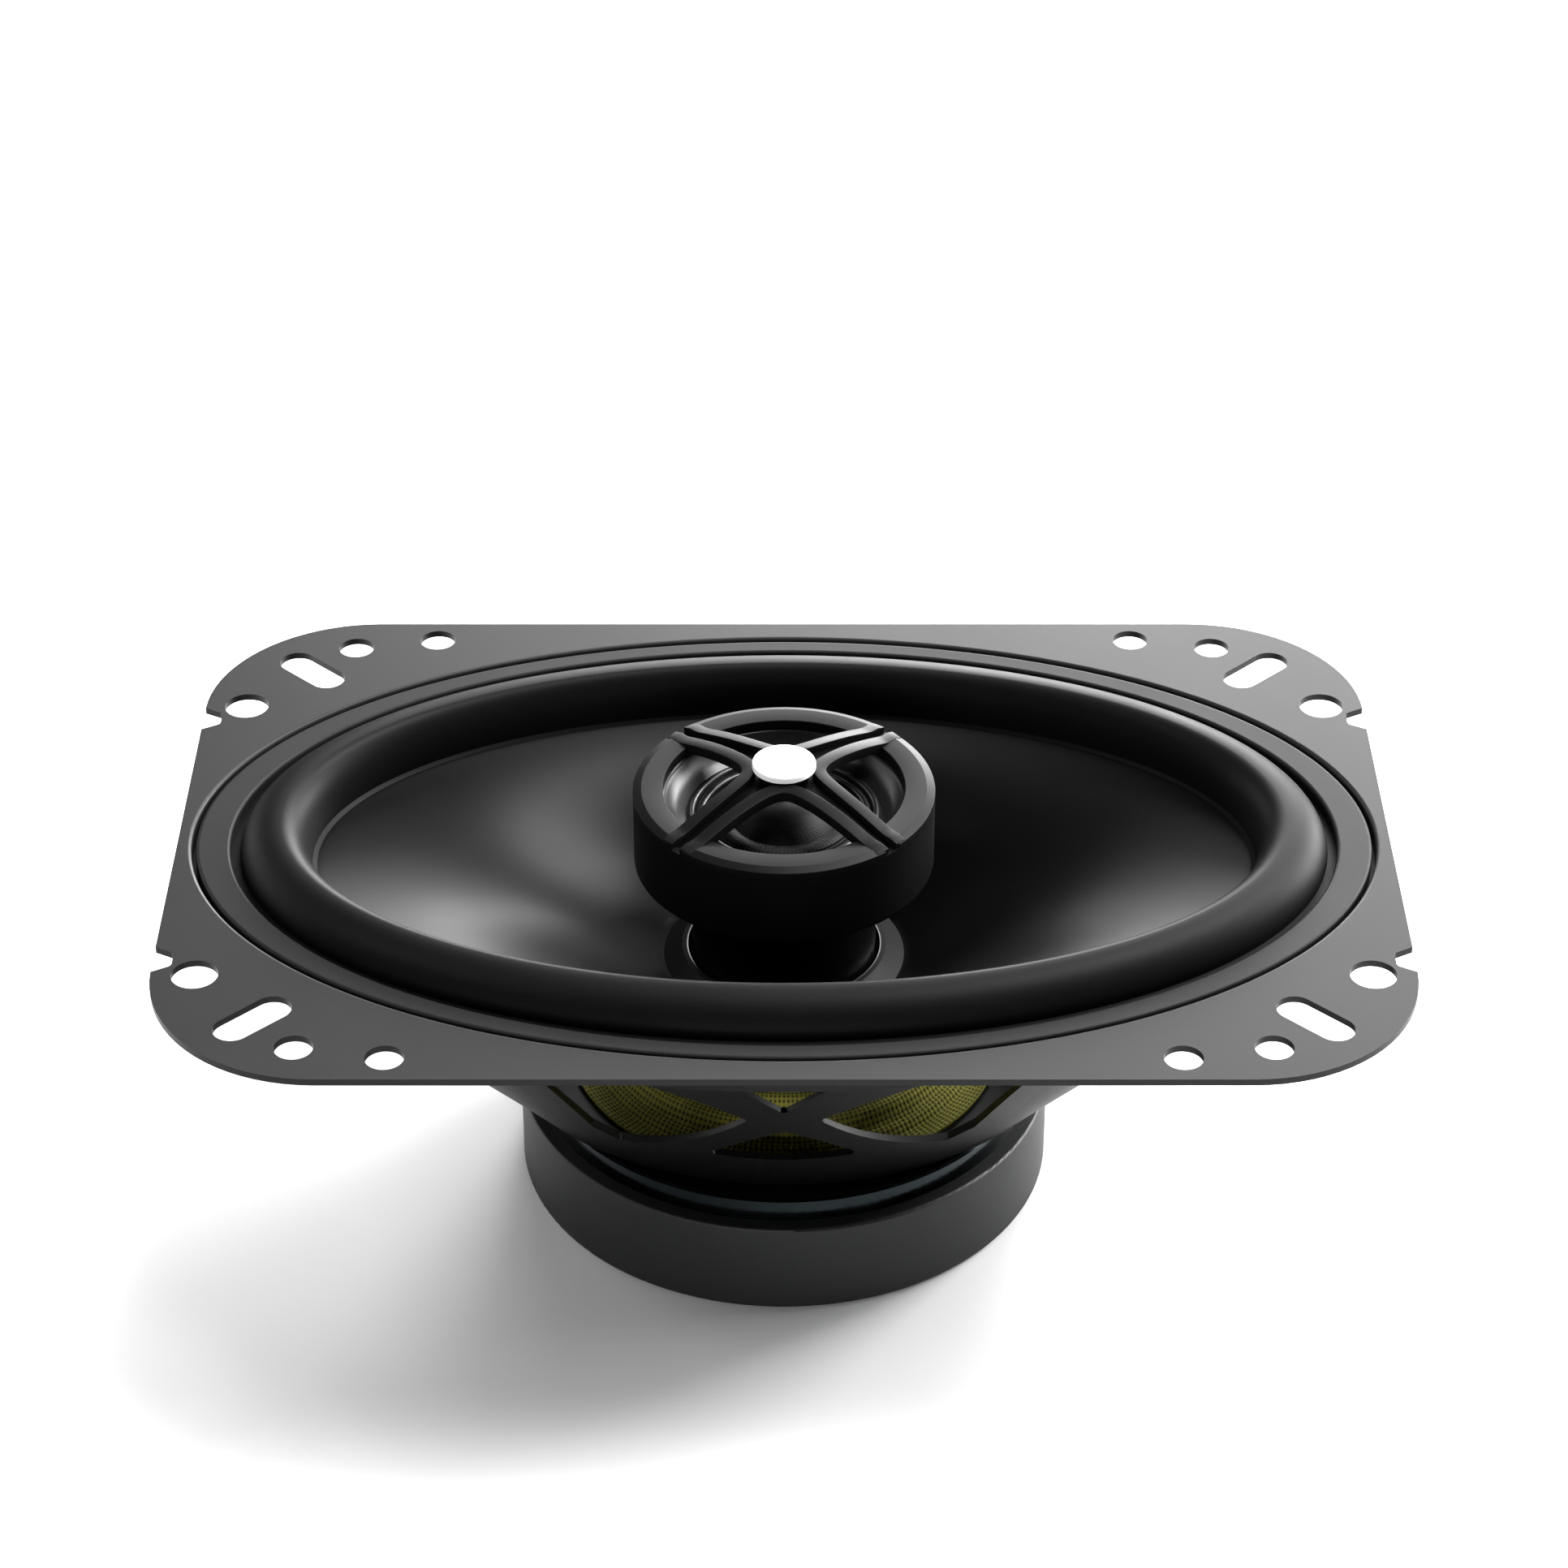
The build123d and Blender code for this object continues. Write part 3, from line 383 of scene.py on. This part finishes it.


# the paint's colour drops to a 0.16 share from 0.4 mm to 1 mm below the flange's rear face and
# stays so below: painted shade under the flange, the paint itself is unchanged
SHADE_BELOW_FLANGE = (-0.4, -1.0, 0.16)
PAINT = dark("painted_steel", (0.0090, 0.0091, 0.0092), 0.42, 0.115, 3.0, 0.006, SHADE_BELOW_FLANGE)
RING = dark("ring_plastic", (0.008, 0.008, 0.0082), 0.5, 0.08, 2.2, 0.004)
RUBBER = dark("surround_rubber", (0.0036, 0.0036, 0.0037), 0.46, 0.045, 1.2, 0.004)
CONE = dark("cone_plastic", (0.0014, 0.0014, 0.00145), 0.34, 0.066, 0.9, 0.004)
NECK = dark("neck_plastic", (0.016, 0.016, 0.016), 0.45, 0.08, 1.5, 0.004)
SPIDER = woven_finish(
    "spider_cloth",
    (0.40, 0.38, 0.075),
    0.8,
    pitch_mm=0.58,
    middle_r=21.0,
    depth_mm=0.08,
    gap_colour=(0.07, 0.066, 0.014),
    Specular_IOR_Level=0.1,
)
ZINC = brushed_finish("zinc_steel", (0.026, 0.033, 0.036), 0.16)
FERRITE = dark("ferrite", (0.006, 0.006, 0.0065), 0.6, 0.1, 2.0, 0.02)
BOOT = dark("boot_rubber", (0.0125, 0.0128, 0.0131), 0.5, 0.22, 2.0, 0.006)
POST = dark("post_plastic", (0.003, 0.003, 0.003), 0.4, 0.08, 2.0, 0.003)
CUP = dark("cup_plastic", (0.0028, 0.0028, 0.0028), 0.45, 0.06, 2.0, 0.003)
GRILLE = dark("grille_plastic", (0.0042, 0.0042, 0.0043), 0.36, 0.045, 2.5, 0.004)
INLAY = dark("inlay_plastic", (0.0008, 0.0008, 0.0008), 0.3, 0.06, 2.0, 0.003)
WAVEGUIDE = dark("waveguide_plastic", (0.004, 0.004, 0.004), 0.33, 0.3, 1.0, 0.002)
BADGE = satin_finish("badge_white", (0.82, 0.82, 0.82), 0.35, 1.5, 0.003)
DOME = woven_finish(
    "dome_cloth",
    (0.014, 0.014, 0.0142),
    0.5,
    pitch_mm=0.3,
    middle_r=5.0,
    depth_mm=0.03,
    gap_colour=(0.0015, 0.0015, 0.0015),
    Specular_IOR_Level=0.1,
)
ALUMINIUM = brushed_finish("former_aluminium", (0.25, 0.25, 0.26), 0.3)
WINDING = brushed_finish("coil_wire", (0.25, 0.12, 0.05), 0.35)
NICKEL = brushed_finish("neo_nickel", (0.2, 0.2, 0.19), 0.25)
TIN = brushed_finish("terminal_tin", (0.25, 0.24, 0.22), 0.3, turns=False)
FIBRE = dark("terminal_fibre", (0.012, 0.009, 0.006), 0.6, 0.1, 3.0, 0.012)
RIVET = brushed_finish("rivet_steel", (0.2, 0.2, 0.2), 0.3)
COPPER = brushed_finish("tinsel_copper", (0.25, 0.13, 0.07), 0.4, turns=False)
SLEEVE = dark("wire_insulation", (0.006, 0.006, 0.006), 0.4, 0.1, 3.0, 0.005)
CAPACITOR = dark("capacitor_sleeve", (0.006, 0.012, 0.03), 0.3, 0.1, 2.0, 0.004)

NODE_FINISH = {
    "basket": PAINT,
    "gasket_ring": RING,
    "top_plate": ZINC,
    "plate_stakes": ZINC,
    "ferrite_magnet": FERRITE,
    "yoke": ZINC,
    "magnet_boot": BOOT,
    "tweeter_post": POST,
    "post_nut": ZINC,
    "crossover_capacitor": CAPACITOR,
    "tweeter_cable": SLEEVE,
    "tweeter_positive_tail": SLEEVE,
    "tweeter_negative_tail": SLEEVE,
    "tweeter_cup": CUP,
    "tweeter_pot": ZINC,
    "tweeter_magnet": NICKEL,
    "tweeter_top_plate": ZINC,
    "diaphragm_ring": RING,
    "terminal_board": FIBRE,
    "terminal_rivet": RIVET,
    "positive_terminal": TIN,
    "negative_terminal": TIN,
    "neck_ring": NECK,
    "voice_coil_former": ALUMINIUM,
    "voice_coil": WINDING,
    "lead_eyelets": RIVET,
    "tweeter_voice_coil": WINDING,
}
for node, material in NODE_FINISH.items():
    mesh = NODES[node].data
    mesh.materials.clear()
    mesh.materials.append(material)


def place(piece, material, body, slot, *replaced):
    """Finish, body, slot and the CAD nodes that a piece stands for; slot is not used."""
    piece.data.materials.append(material)
    if isinstance(body, str):
        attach(piece, body)
    else:
        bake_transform(piece)
    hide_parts(*replaced)


def level_blend(low_body, high_body, start_z, end_z):
    """Two bodies and two points at heights in millimetres that describe a blend along Z; nothing
    here applies the blend.
    """
    return (low_body, high_body, (0, 0, start_z * MM), (0, 0, end_z * MM))


# ---------------------------------------------------------------- surround: two halves
OVAL_STEPS = 320
QUARTER_STEPS = 28


def quarter(start, start_z, thickness=0.0):
    """Quarter of the roll from its edge up to the crest; steps get shorter towards the crest."""
    points = []
    for k in range(QUARTER_STEPS + 1):
        angle = pi / 2 * (1 - (1 - k / QUARTER_STEPS) ** 1.6)
        t = 1 - cos(angle)
        a, b = mix_pair(start, CREST, t)
        points.append((a, b, mix(start_z, CREST_Z - thickness, sin(angle))))
    return points


foot_top = LEDGE_Z + FOOT
outer_skin = quarter(ROLL_OUTER, foot_top + 0.05)
under_start = (ROLL_OUTER[0] - FOOT, ROLL_OUTER[1] - FOOT)
outer_under = quarter(under_start, LEDGE_Z, FOOT)
foot = [
    (ROLL_OUTER[0] + 0.5, ROLL_OUTER[1] + 0.5, foot_top),
    (*RING_OUTER, foot_top),
    (*RING_OUTER, LEDGE_Z + HAIR),
]
outer_profile = foot[::-1] + outer_skin + outer_under[::-1]
outer_half = oval_sweep("surround_outer_half", outer_profile, OVAL_STEPS, 40.0)
place(
    outer_half,
    RUBBER,
    level_blend("frame", "cone_assembly", foot_top, 2 * CREST_Z - foot_top),
    "surround_rubber",
    "surround",
)

# the inner half ends in a thin lip that runs out on the cone's rim
inner_skin = quarter(ROLL_INNER, ROLL_INNER_Z + 0.2)
under_start = (ROLL_INNER[0] + FOOT, ROLL_INNER[1] + FOOT)
inner_under = quarter(under_start, ROLL_INNER_Z, FOOT)
cone_neck = (CONE_NECK_R, CONE_NECK_R)
LIP_REACH = 0.02


def cone_point(t, lift):
    """Point of the cone's upper face, t = 0 at the rim and 1 at the neck, lifted off it."""
    a, b = mix_pair(CONE_RIM, cone_neck, t)
    return (a, b, mix(CONE_RIM_Z, CONE_NECK_Z, t) + lift)


lip = [
    cone_point(0.008, 0.10),
    cone_point(LIP_REACH - 0.006, 0.055),
    cone_point(LIP_REACH - 0.001, 0.035),
    cone_point(LIP_REACH, -0.01),
    cone_point(0.0, -HAIR),
]
inner_profile = inner_skin[::-1] + lip + inner_under
inner_half = oval_sweep("surround_inner_half", inner_profile, OVAL_STEPS, 40.0)
place(
    inner_half,
    RUBBER,
    level_blend("frame", "cone_assembly", 2 * CREST_Z - ROLL_INNER_Z, ROLL_INNER_Z),
    "surround_rubber",
    "surround",
)

# ---------------------------------------------------------------- cone, spider
CONE_STEPS = 40
CONE_SWELL = 2.6
CONE_BACK_SHIFT = 0.3
CONE_SKIRT = 0.5
cone_top = []
cone_back = []
for k in range(CONE_STEPS + 1):
    t = k / CONE_STEPS
    swell = CONE_SWELL * sin(pi * t)
    cone_top.append(cone_point(t, swell))
    a, b, z = cone_point(t, swell - CONE_WALL)
    cone_back.append((a + CONE_BACK_SHIFT, b + CONE_BACK_SHIFT, z))
cone_top.append((FORMER_R + HAIR, FORMER_R + HAIR, CONE_NECK_Z))
cone_back.append((FORMER_R + HAIR, FORMER_R + HAIR, CONE_NECK_Z - CONE_WALL))
cone_edge = [(CONE_RIM[0] + CONE_SKIRT, CONE_RIM[1] + CONE_SKIRT, CONE_RIM_Z - 0.05)]
cone_profile = cone_edge + cone_top + cone_back[::-1]
cone = oval_sweep("cone_shell", cone_profile, OVAL_STEPS, 30.0)
place(cone, CONE, "cone_assembly", "cone_plastic", "cone")

SPIDER_WAVES = 5
SPIDER_STEPS = 90
SPIDER_WALL = 0.4
SPIDER_WAVE_HEIGHT = 0.28


def spider_skin(lift):
    """Half section of the corrugated cone of cloth from the landing up to the former."""
    landing_z = BASKET_FLOOR + lift + HAIR
    points = [(SPIDER_LANDING[1], landing_z), (SPIDER_LANDING[0], landing_z)]
    for k in range(1, SPIDER_STEPS + 1):
        t = k / SPIDER_STEPS
        fade = min(1.0, 8 * t, 6 * (1 - t))
        r = mix(SPIDER_LANDING[0], SPIDER_TOP[0] + 0.9, t)
        z = mix(BASKET_FLOOR, SPIDER_TOP[1] - SPIDER_WALL, t) + lift
        points.append((r, z + SPIDER_WAVE_HEIGHT * fade * sin(2 * pi * SPIDER_WAVES * t)))
    points.append((SPIDER_TOP[0] - 0.08, SPIDER_TOP[1] - SPIDER_WALL + lift))
    return points


spider_profile = spider_skin(SPIDER_WALL) + spider_skin(0.0)[::-1]
spider = revolve("spider_web", spider_profile, AROUND, 50.0)
spider_blend = level_blend("frame", "cone_assembly", BASKET_FLOOR + 0.5, SPIDER_TOP[1] - 0.3)
place(spider, SPIDER, spider_blend, "spider_cloth", "spider")


# ---------------------------------------------------------------- tweeter's grille and badge
def arc_sweep(profile, start, end, steps):
    """Closed profile of (r, z) carried from one angle to another, with both ends closed."""
    points = []
    for k in range(steps + 1):
        angle = mix(start, end, k / steps)
        points += [(r * cos(angle), r * sin(angle), z) for r, z in profile]
    count = len(profile)
    faces = grid_faces(steps + 1, count, wrap_rows=False)
    faces.append(tuple(range(count)))
    faces.append(tuple(reversed(range(len(points) - count, len(points)))))
    return points, faces


SEAT_Z = 7.35
QUARTERS = (0, pi / 2, pi, 3 * pi / 2)
bezel_profile = rounded(
    [
        (BEZEL_INNER_R, SEAT_Z - HAIR / 2, 0.0),
        (BEZEL_R, SEAT_Z - HAIR / 2, 0.0),
        (BEZEL_R, BEZEL_Z[1] - 0.38, 0.08),
        (BEZEL_FLAT_R, BEZEL_Z[1], 0.06),
        (BEZEL_INNER_R, BEZEL_Z[1], 0.15),
    ],
    0.1,
    4,
)
RAIL_WIDTH = 1.75
RAIL_DEPTH = 1.5
CHANNEL = 1.05
RAIL_OFFSET = (CHANNEL + RAIL_WIDTH) / 2
RAIL_END_R = 19.12
APEX = RAIL_OFFSET * sqrt(2)
APEX_ROUND = 2.5
CROWN_RIM = 8.45
CROWN_RISE = 2.7
CROWN_R = 16.8
CROWN_BEVEL = 0.32


def crown(r):
    """Height of the rails' upper edge over the axis distance r."""
    dome = CROWN_RIM + CROWN_RISE * max(0.0, 1 - (r / CROWN_R) ** 2)
    return dome - CROWN_BEVEL * max(0.0, r - BEZEL_FLAT_R)


def rail_section():
    """Rounded section of a rail: (sideways, below the crown), the upper face tips outwards."""
    half = RAIL_WIDTH / 2
    corners = [(-half, -RAIL_DEPTH), (half, -RAIL_DEPTH), (half, -0.10), (-half, 0.0)]
    return rounded(corners, 0.09, 3)


def rail_point(y, sideways):
    """Plan point of a rail: y along the hyperbola of its middle line, moved towards the hub."""
    span = sqrt(y * y + APEX_ROUND**2)
    run = hypot(1.0, y / span)
    return (APEX + span - sideways / run, y + sideways * (y / span) / run)


def rail_half_length(sideways):
    """The y at which a rail's side meets the circle where the rails end."""
    low, high = 5.0, 20.0
    for _ in range(HALVINGS):
        y = (low + high) / 2
        if hypot(*rail_point(y, sideways)) > RAIL_END_R:
            high = y
        else:
            low = y
    return low


def v_rail(turn):
    """One rail round an opening: a hyperbola between two arms, rising towards the hub."""
    section = rail_section()
    ends = [rail_half_length(-sideways) for sideways, _ in section]
    points = []
    steps = 72
    for k in range(steps + 1):
        u = 2 * k / steps - 1
        for (sideways, drop), end in zip(section, ends):
            x, y = rail_point(end * (0.35 * u + 0.65 * u**3), -sideways)
            r = hypot(x, y)
            angle = atan2(y, x) + turn
            points.append((r * cos(angle), r * sin(angle), crown(r) + drop))
    count = len(section)
    faces = grid_faces(steps + 1, count, wrap_rows=False)
    faces.append(tuple(reversed(range(count))))
    faces.append(tuple(range(len(points) - count, len(points))))
    return points, faces


BEZEL_GAP_HALF = 1.25
SEGMENT_HALF = pi / 4 - BEZEL_GAP_HALF / BEZEL_R
segments = [
    arc_sweep(bezel_profile, turn - SEGMENT_HALF, turn + SEGMENT_HALF, 64)
    for turn in QUARTERS
]
bezel = joined("bezel_segments", segments, 12.0)
place(bezel, GRILLE, "frame", "grille_plastic", "tweeter_grille")
seat_profile = rounded(
    [
        (BEZEL_INNER_R, BEZEL_Z[0] + HAIR, 0.0),
        (BEZEL_R, BEZEL_Z[0] + HAIR, 0.05),
        (BEZEL_R, SEAT_Z, 0.0),
        (BEZEL_INNER_R, SEAT_Z, 0.0),
    ],
    0.1,
)
seat = revolve("bezel_seat", seat_profile, AROUND, 30.0)
place(seat, GRILLE, "frame", "grille_plastic", "tweeter_grille")

rails = joined("grille_rails", [v_rail(turn) for turn in QUARTERS], 40.0)
place(rails, GRILLE, "frame", "grille_plastic", "tweeter_grille")

BOSS_TOP = 11.21
BOSS_R = 3.4
FLOOR_DROP = 1.0
FLOOR_WALL = 0.45
AXIS_DROP = 1.6


def star_radius(angle):
    """Distance from the axis to the rails' centre line, or to the rails' end along an arm."""
    folded = (angle + pi / 4) % (pi / 2) - pi / 4
    low, high = 1.0, RAIL_END_R - 0.3
    for _ in range(HALVINGS):
        r = (low + high) / 2
        if r * cos(folded) > APEX + sqrt((r * sin(folded)) ** 2 + APEX_ROUND**2):
            high = r
        else:
            low = r
    return low


def channel_floor():
    """Cross-shaped plate under the rails with a boss for the badge in the middle."""
    steps = 360
    stations = [0.0, 0.25, 0.5, 0.75, 1.0]
    angles = [2 * pi * k / steps for k in range(steps)]
    boss_foot = crown(BOSS_R) - FLOOR_DROP
    boss = ((BOSS_R - 0.4, BOSS_TOP), (BOSS_R - 0.2, BOSS_TOP - 0.21), (BOSS_R - 0.1, boss_foot))
    rings = [[point] * steps for point in boss]
    for station in stations:
        ring = []
        for angle in angles:
            r = mix(BOSS_R + 0.3, star_radius(angle), station)
            ring.append((r, crown(r) - FLOOR_DROP))
        rings.append(ring)
    count = len(rings)
    points = [(0, 0, BOSS_TOP), (0, 0, crown(0) - AXIS_DROP)]
    for layer in (0, 1):
        for ring in rings:
            for angle, (r, z) in zip(angles, ring):
                height = z if layer == 0 else min(z, crown(r) - FLOOR_DROP) - FLOOR_WALL
                points.append((r * cos(angle), r * sin(angle), height))
    faces = []
    for k in range(steps):
        j = (k + 1) % steps
        for layer in (0, 1):
            base = 2 + layer * count * steps
            fan = (layer, base + k, base + j)
            faces.append(fan if layer == 0 else fan[::-1])
            for ring in range(count - 1):
                a = base + ring * steps
                b = a + steps
                quad = (a + k, b + k, b + j, a + j)
                faces.append(quad if layer == 0 else quad[::-1])
        a = 2 + (count - 1) * steps
        b = a + count * steps
        faces.append((a + k, b + k, b + j, a + j))
    return points, faces


inlay = joined("channel_floor", [channel_floor()], 40.0)
place(inlay, INLAY, "frame", "inlay_plastic", "grille_inlay")

badge_base, badge_top = BADGE_Z
badge_profile = [
    (0.0, badge_top),
    (2.55, badge_top),
    (2.65, badge_top - 0.10),
    (2.85, badge_top - 0.10),
    (2.95, badge_top),
    (BADGE_R - 0.3, badge_top),
    (BADGE_R - 0.1, badge_top - 0.06),
    (BADGE_R, badge_top - 0.25),
    (BADGE_R, badge_base + HAIR),
    (0.0, badge_base + HAIR),
]
badge = cap_of_revolution("badge_face", badge_profile, 128, 30.0)
place(badge, BADGE, "frame", "badge_white", "badge_disc")

# ---------------------------------------------------------------- tweeter: waveguide, diaphragm
guide = [(15.38, 6.88), (15.2, 6.75), (14.9, 6.3), (14.3, 5.4), (13.5, 4.75), (12.7, 4.45)]
RIB_HALF = 0.5
RIB_HEIGHT = 0.45
for crest_r, crest_z in ((11.9, 4.75), (10.7, 4.35)):
    for k in range(9):
        angle = pi * k / 8
        rib_z = crest_z - RIB_HEIGHT + RIB_HEIGHT * sin(angle)
        guide.append((crest_r + RIB_HALF * cos(angle), rib_z))
guide.append((10.1, 3.55))
guide_back = [(10.1, 3.32), (12.7, 3.5), (14.0, 4.2), (15.2, 5.7), (17.7, 5.72), (17.7, 6.88)]
waveguide = revolve("waveguide_horn", (guide + guide_back)[::-1], AROUND, 40.0)
place(waveguide, WAVEGUIDE, "frame", "waveguide_plastic", "waveguide")

ROLL_RIM = 9.35
ROLL_CREST_R = 7.95
DOME_R = 6.75
ROLL_BASE = 3.52
ROLL_TOP = 4.0
ROLL_WALL = 0.2
ROLL_STEPS = 12
SMALL_AROUND = 192


def soft_quarter(edge, lift):
    """Quarter arc of the tweeter's own surround from an edge up to the crest."""
    points = []
    for k in range(ROLL_STEPS + 1):
        angle = pi / 2 * (1 - (1 - k / ROLL_STEPS) ** 1.5)
        r = mix(edge, ROLL_CREST_R, 1 - cos(angle))
        points.append((r, mix(ROLL_BASE, ROLL_TOP, sin(angle)) + lift))
    return points


twice_top = 2 * ROLL_TOP - ROLL_BASE
flat_rim = [(ROLL_RIM, ROLL_BASE - 0.19), (ROLL_RIM, ROLL_BASE - HAIR)]
for half_name, edge, rim, levels in (
    ("tweeter_roll_outer", ROLL_RIM - 0.35, flat_rim, (ROLL_BASE, twice_top)),
    ("tweeter_roll_inner", DOME_R, [], (twice_top, ROLL_BASE)),
):
    profile = soft_quarter(edge, 0.0) + soft_quarter(edge, -ROLL_WALL)[::-1] + rim
    half = revolve(half_name, profile, SMALL_AROUND, 40.0)
    blend = level_blend("frame", "tweeter_diaphragm", *levels)
    place(half, DOME, blend, "dome_cloth", "tweeter_surround")

DOME_BASE = 3.45
DOME_HEIGHT = 2.8
DOME_WALL = 0.22
DOME_STEPS = 24
dome_sphere = (DOME_R**2 + DOME_HEIGHT**2) / (2 * DOME_HEIGHT)
dome_angle = asin(DOME_R / dome_sphere)
dome_profile = []
for k in range(DOME_STEPS + 1):
    angle = dome_angle * k / DOME_STEPS
    height = dome_sphere * cos(angle) - (dome_sphere - DOME_HEIGHT)
    dome_profile.append((dome_sphere * sin(angle), DOME_BASE + height))
dome_under = [(r * 0.985, z - DOME_WALL) for r, z in dome_profile[::-1]]
dome = cap_of_revolution("woven_dome", dome_profile + dome_under, SMALL_AROUND, 40.0)
place(dome, DOME, "tweeter_diaphragm", "dome_cloth", "tweeter_dome")

# ---------------------------------------------------------------- braided tinsel leads
TINSEL = (
    (7.5, 37.85, -16.4),
    (7.5, 34.85, -14.9),
    (7.4, 30.2, -18.0),
    (7.2, 25.6, -20.3),
    (7.0, 22.0, -18.6),
    (7.0, 22.0, -14.4),
)
TINSEL_BENDS = (1.5, 4.5, 2.5, 1.8)
STRANDS = 4
STRAND_R = 0.22
STRAND_OFFSET = 0.24
STRAND_TWIST = 2.6
BLEND_Y = (37.5, 22.5)
for lead_name, side in (("positive", 1), ("negative", -1)):
    route = rounded_route([(side * x, y, z) for x, y, z in TINSEL], TINSEL_BENDS, 0.2)
    strands = [
        tube(route, STRAND_R, 8, STRAND_TWIST, STRAND_OFFSET, 2 * pi * k / STRANDS)
        for k in range(STRANDS)
    ]
    lead = joined(lead_name + "_braided_lead", strands, 60.0)
    blend = ("frame", "cone_assembly", *[(0, y * MM, 0) for y in BLEND_Y])
    place(lead, COPPER, blend, "tinsel_copper", lead_name + "_tinsel_lead")

# ---------------------------------------------------------------- floor, lights, camera
FLOOR_RADIUS = 0.95
bpy.ops.mesh.primitive_circle_add(
    vertices=128, radius=FLOOR_RADIUS, fill_type="NGON", location=(0, 0, FLOOR_Z * MM)
)
floor = bpy.context.object
floor.name = "studio_floor"
floor_finish = Finish("studio_white", (0.9, 0.9, 0.9), 0.8)
floor_finish.put("Specular IOR Level", 0.1)
floor.data.materials.append(floor_finish.material)


def area_light(name, location, size, power):
    """Square softbox aimed at the part."""
    light = bpy.data.lights.new(name, "AREA")
    light.shape = "SQUARE"
    light.size = size
    light.energy = power
    lamp = bpy.data.objects.new(name, light)
    lamp.location = location
    lamp.rotation_euler = (-location).to_track_quat("-Z", "Y").to_euler()
    bpy.context.scene.collection.objects.link(lamp)


# softboxes: (azimuth from +Y towards +X, elevation, watts)
SOFTBOXES = (
    (50, 12, 27.0),
    (50, 50, 21.0),
    (0, 12, 5.0),
    (12, 12, 13.0),
    (25, 12, 5.0),
    (60, 72, 9.5),
    (75, 30, 6.5),
    (30, 72, 3.5),
    (0, 30, 2.0),
    (25, 30, 1.5),
    (-50, 12, 3.0),
    (-100, 50, 2.7),
    (-75, 12, 2.0),
    (180, 12, 4.0),
    (-140, 12, 1.5),
)
SOFTBOX_DISTANCE = 1.1
SOFTBOX_SIZE = 0.45
for azimuth, elevation, watts in SOFTBOXES:
    a, e = radians(azimuth), radians(elevation)
    spot = Vector((sin(a) * cos(e), cos(a) * cos(e), sin(e))) * SOFTBOX_DISTANCE
    area_light("softbox_%d_%d" % (azimuth, elevation), spot, SOFTBOX_SIZE, watts)

world = bpy.data.worlds.new("studio_world")
world.use_nodes = True
background = world.node_tree.nodes["Background"]
background.inputs["Color"].default_value = (1, 1, 1, 1)
background.inputs["Strength"].default_value = 1.0
# the white backdrop is seen behind the floor and gives no light
backdrop = world.cycles_visibility
backdrop.diffuse = backdrop.glossy = backdrop.transmission = backdrop.scatter = False
bpy.context.scene.world = world
bpy.context.scene.view_settings.view_transform = "Standard"

CAMERA_PLACE = (0, -0.455062, 0.308382)
CAMERA_TILT = 56.62
LENS_MM = 98.4
camera_data = bpy.data.cameras.new("camera")
camera_data.lens = LENS_MM
camera_data.sensor_width = 36.0
camera_data.clip_start = 0.01
camera = bpy.data.objects.new("camera", camera_data)
camera.location = CAMERA_PLACE
camera.rotation_euler = (radians(CAMERA_TILT), 0, 0)
bpy.context.scene.collection.objects.link(camera)
bpy.context.scene.camera = camera
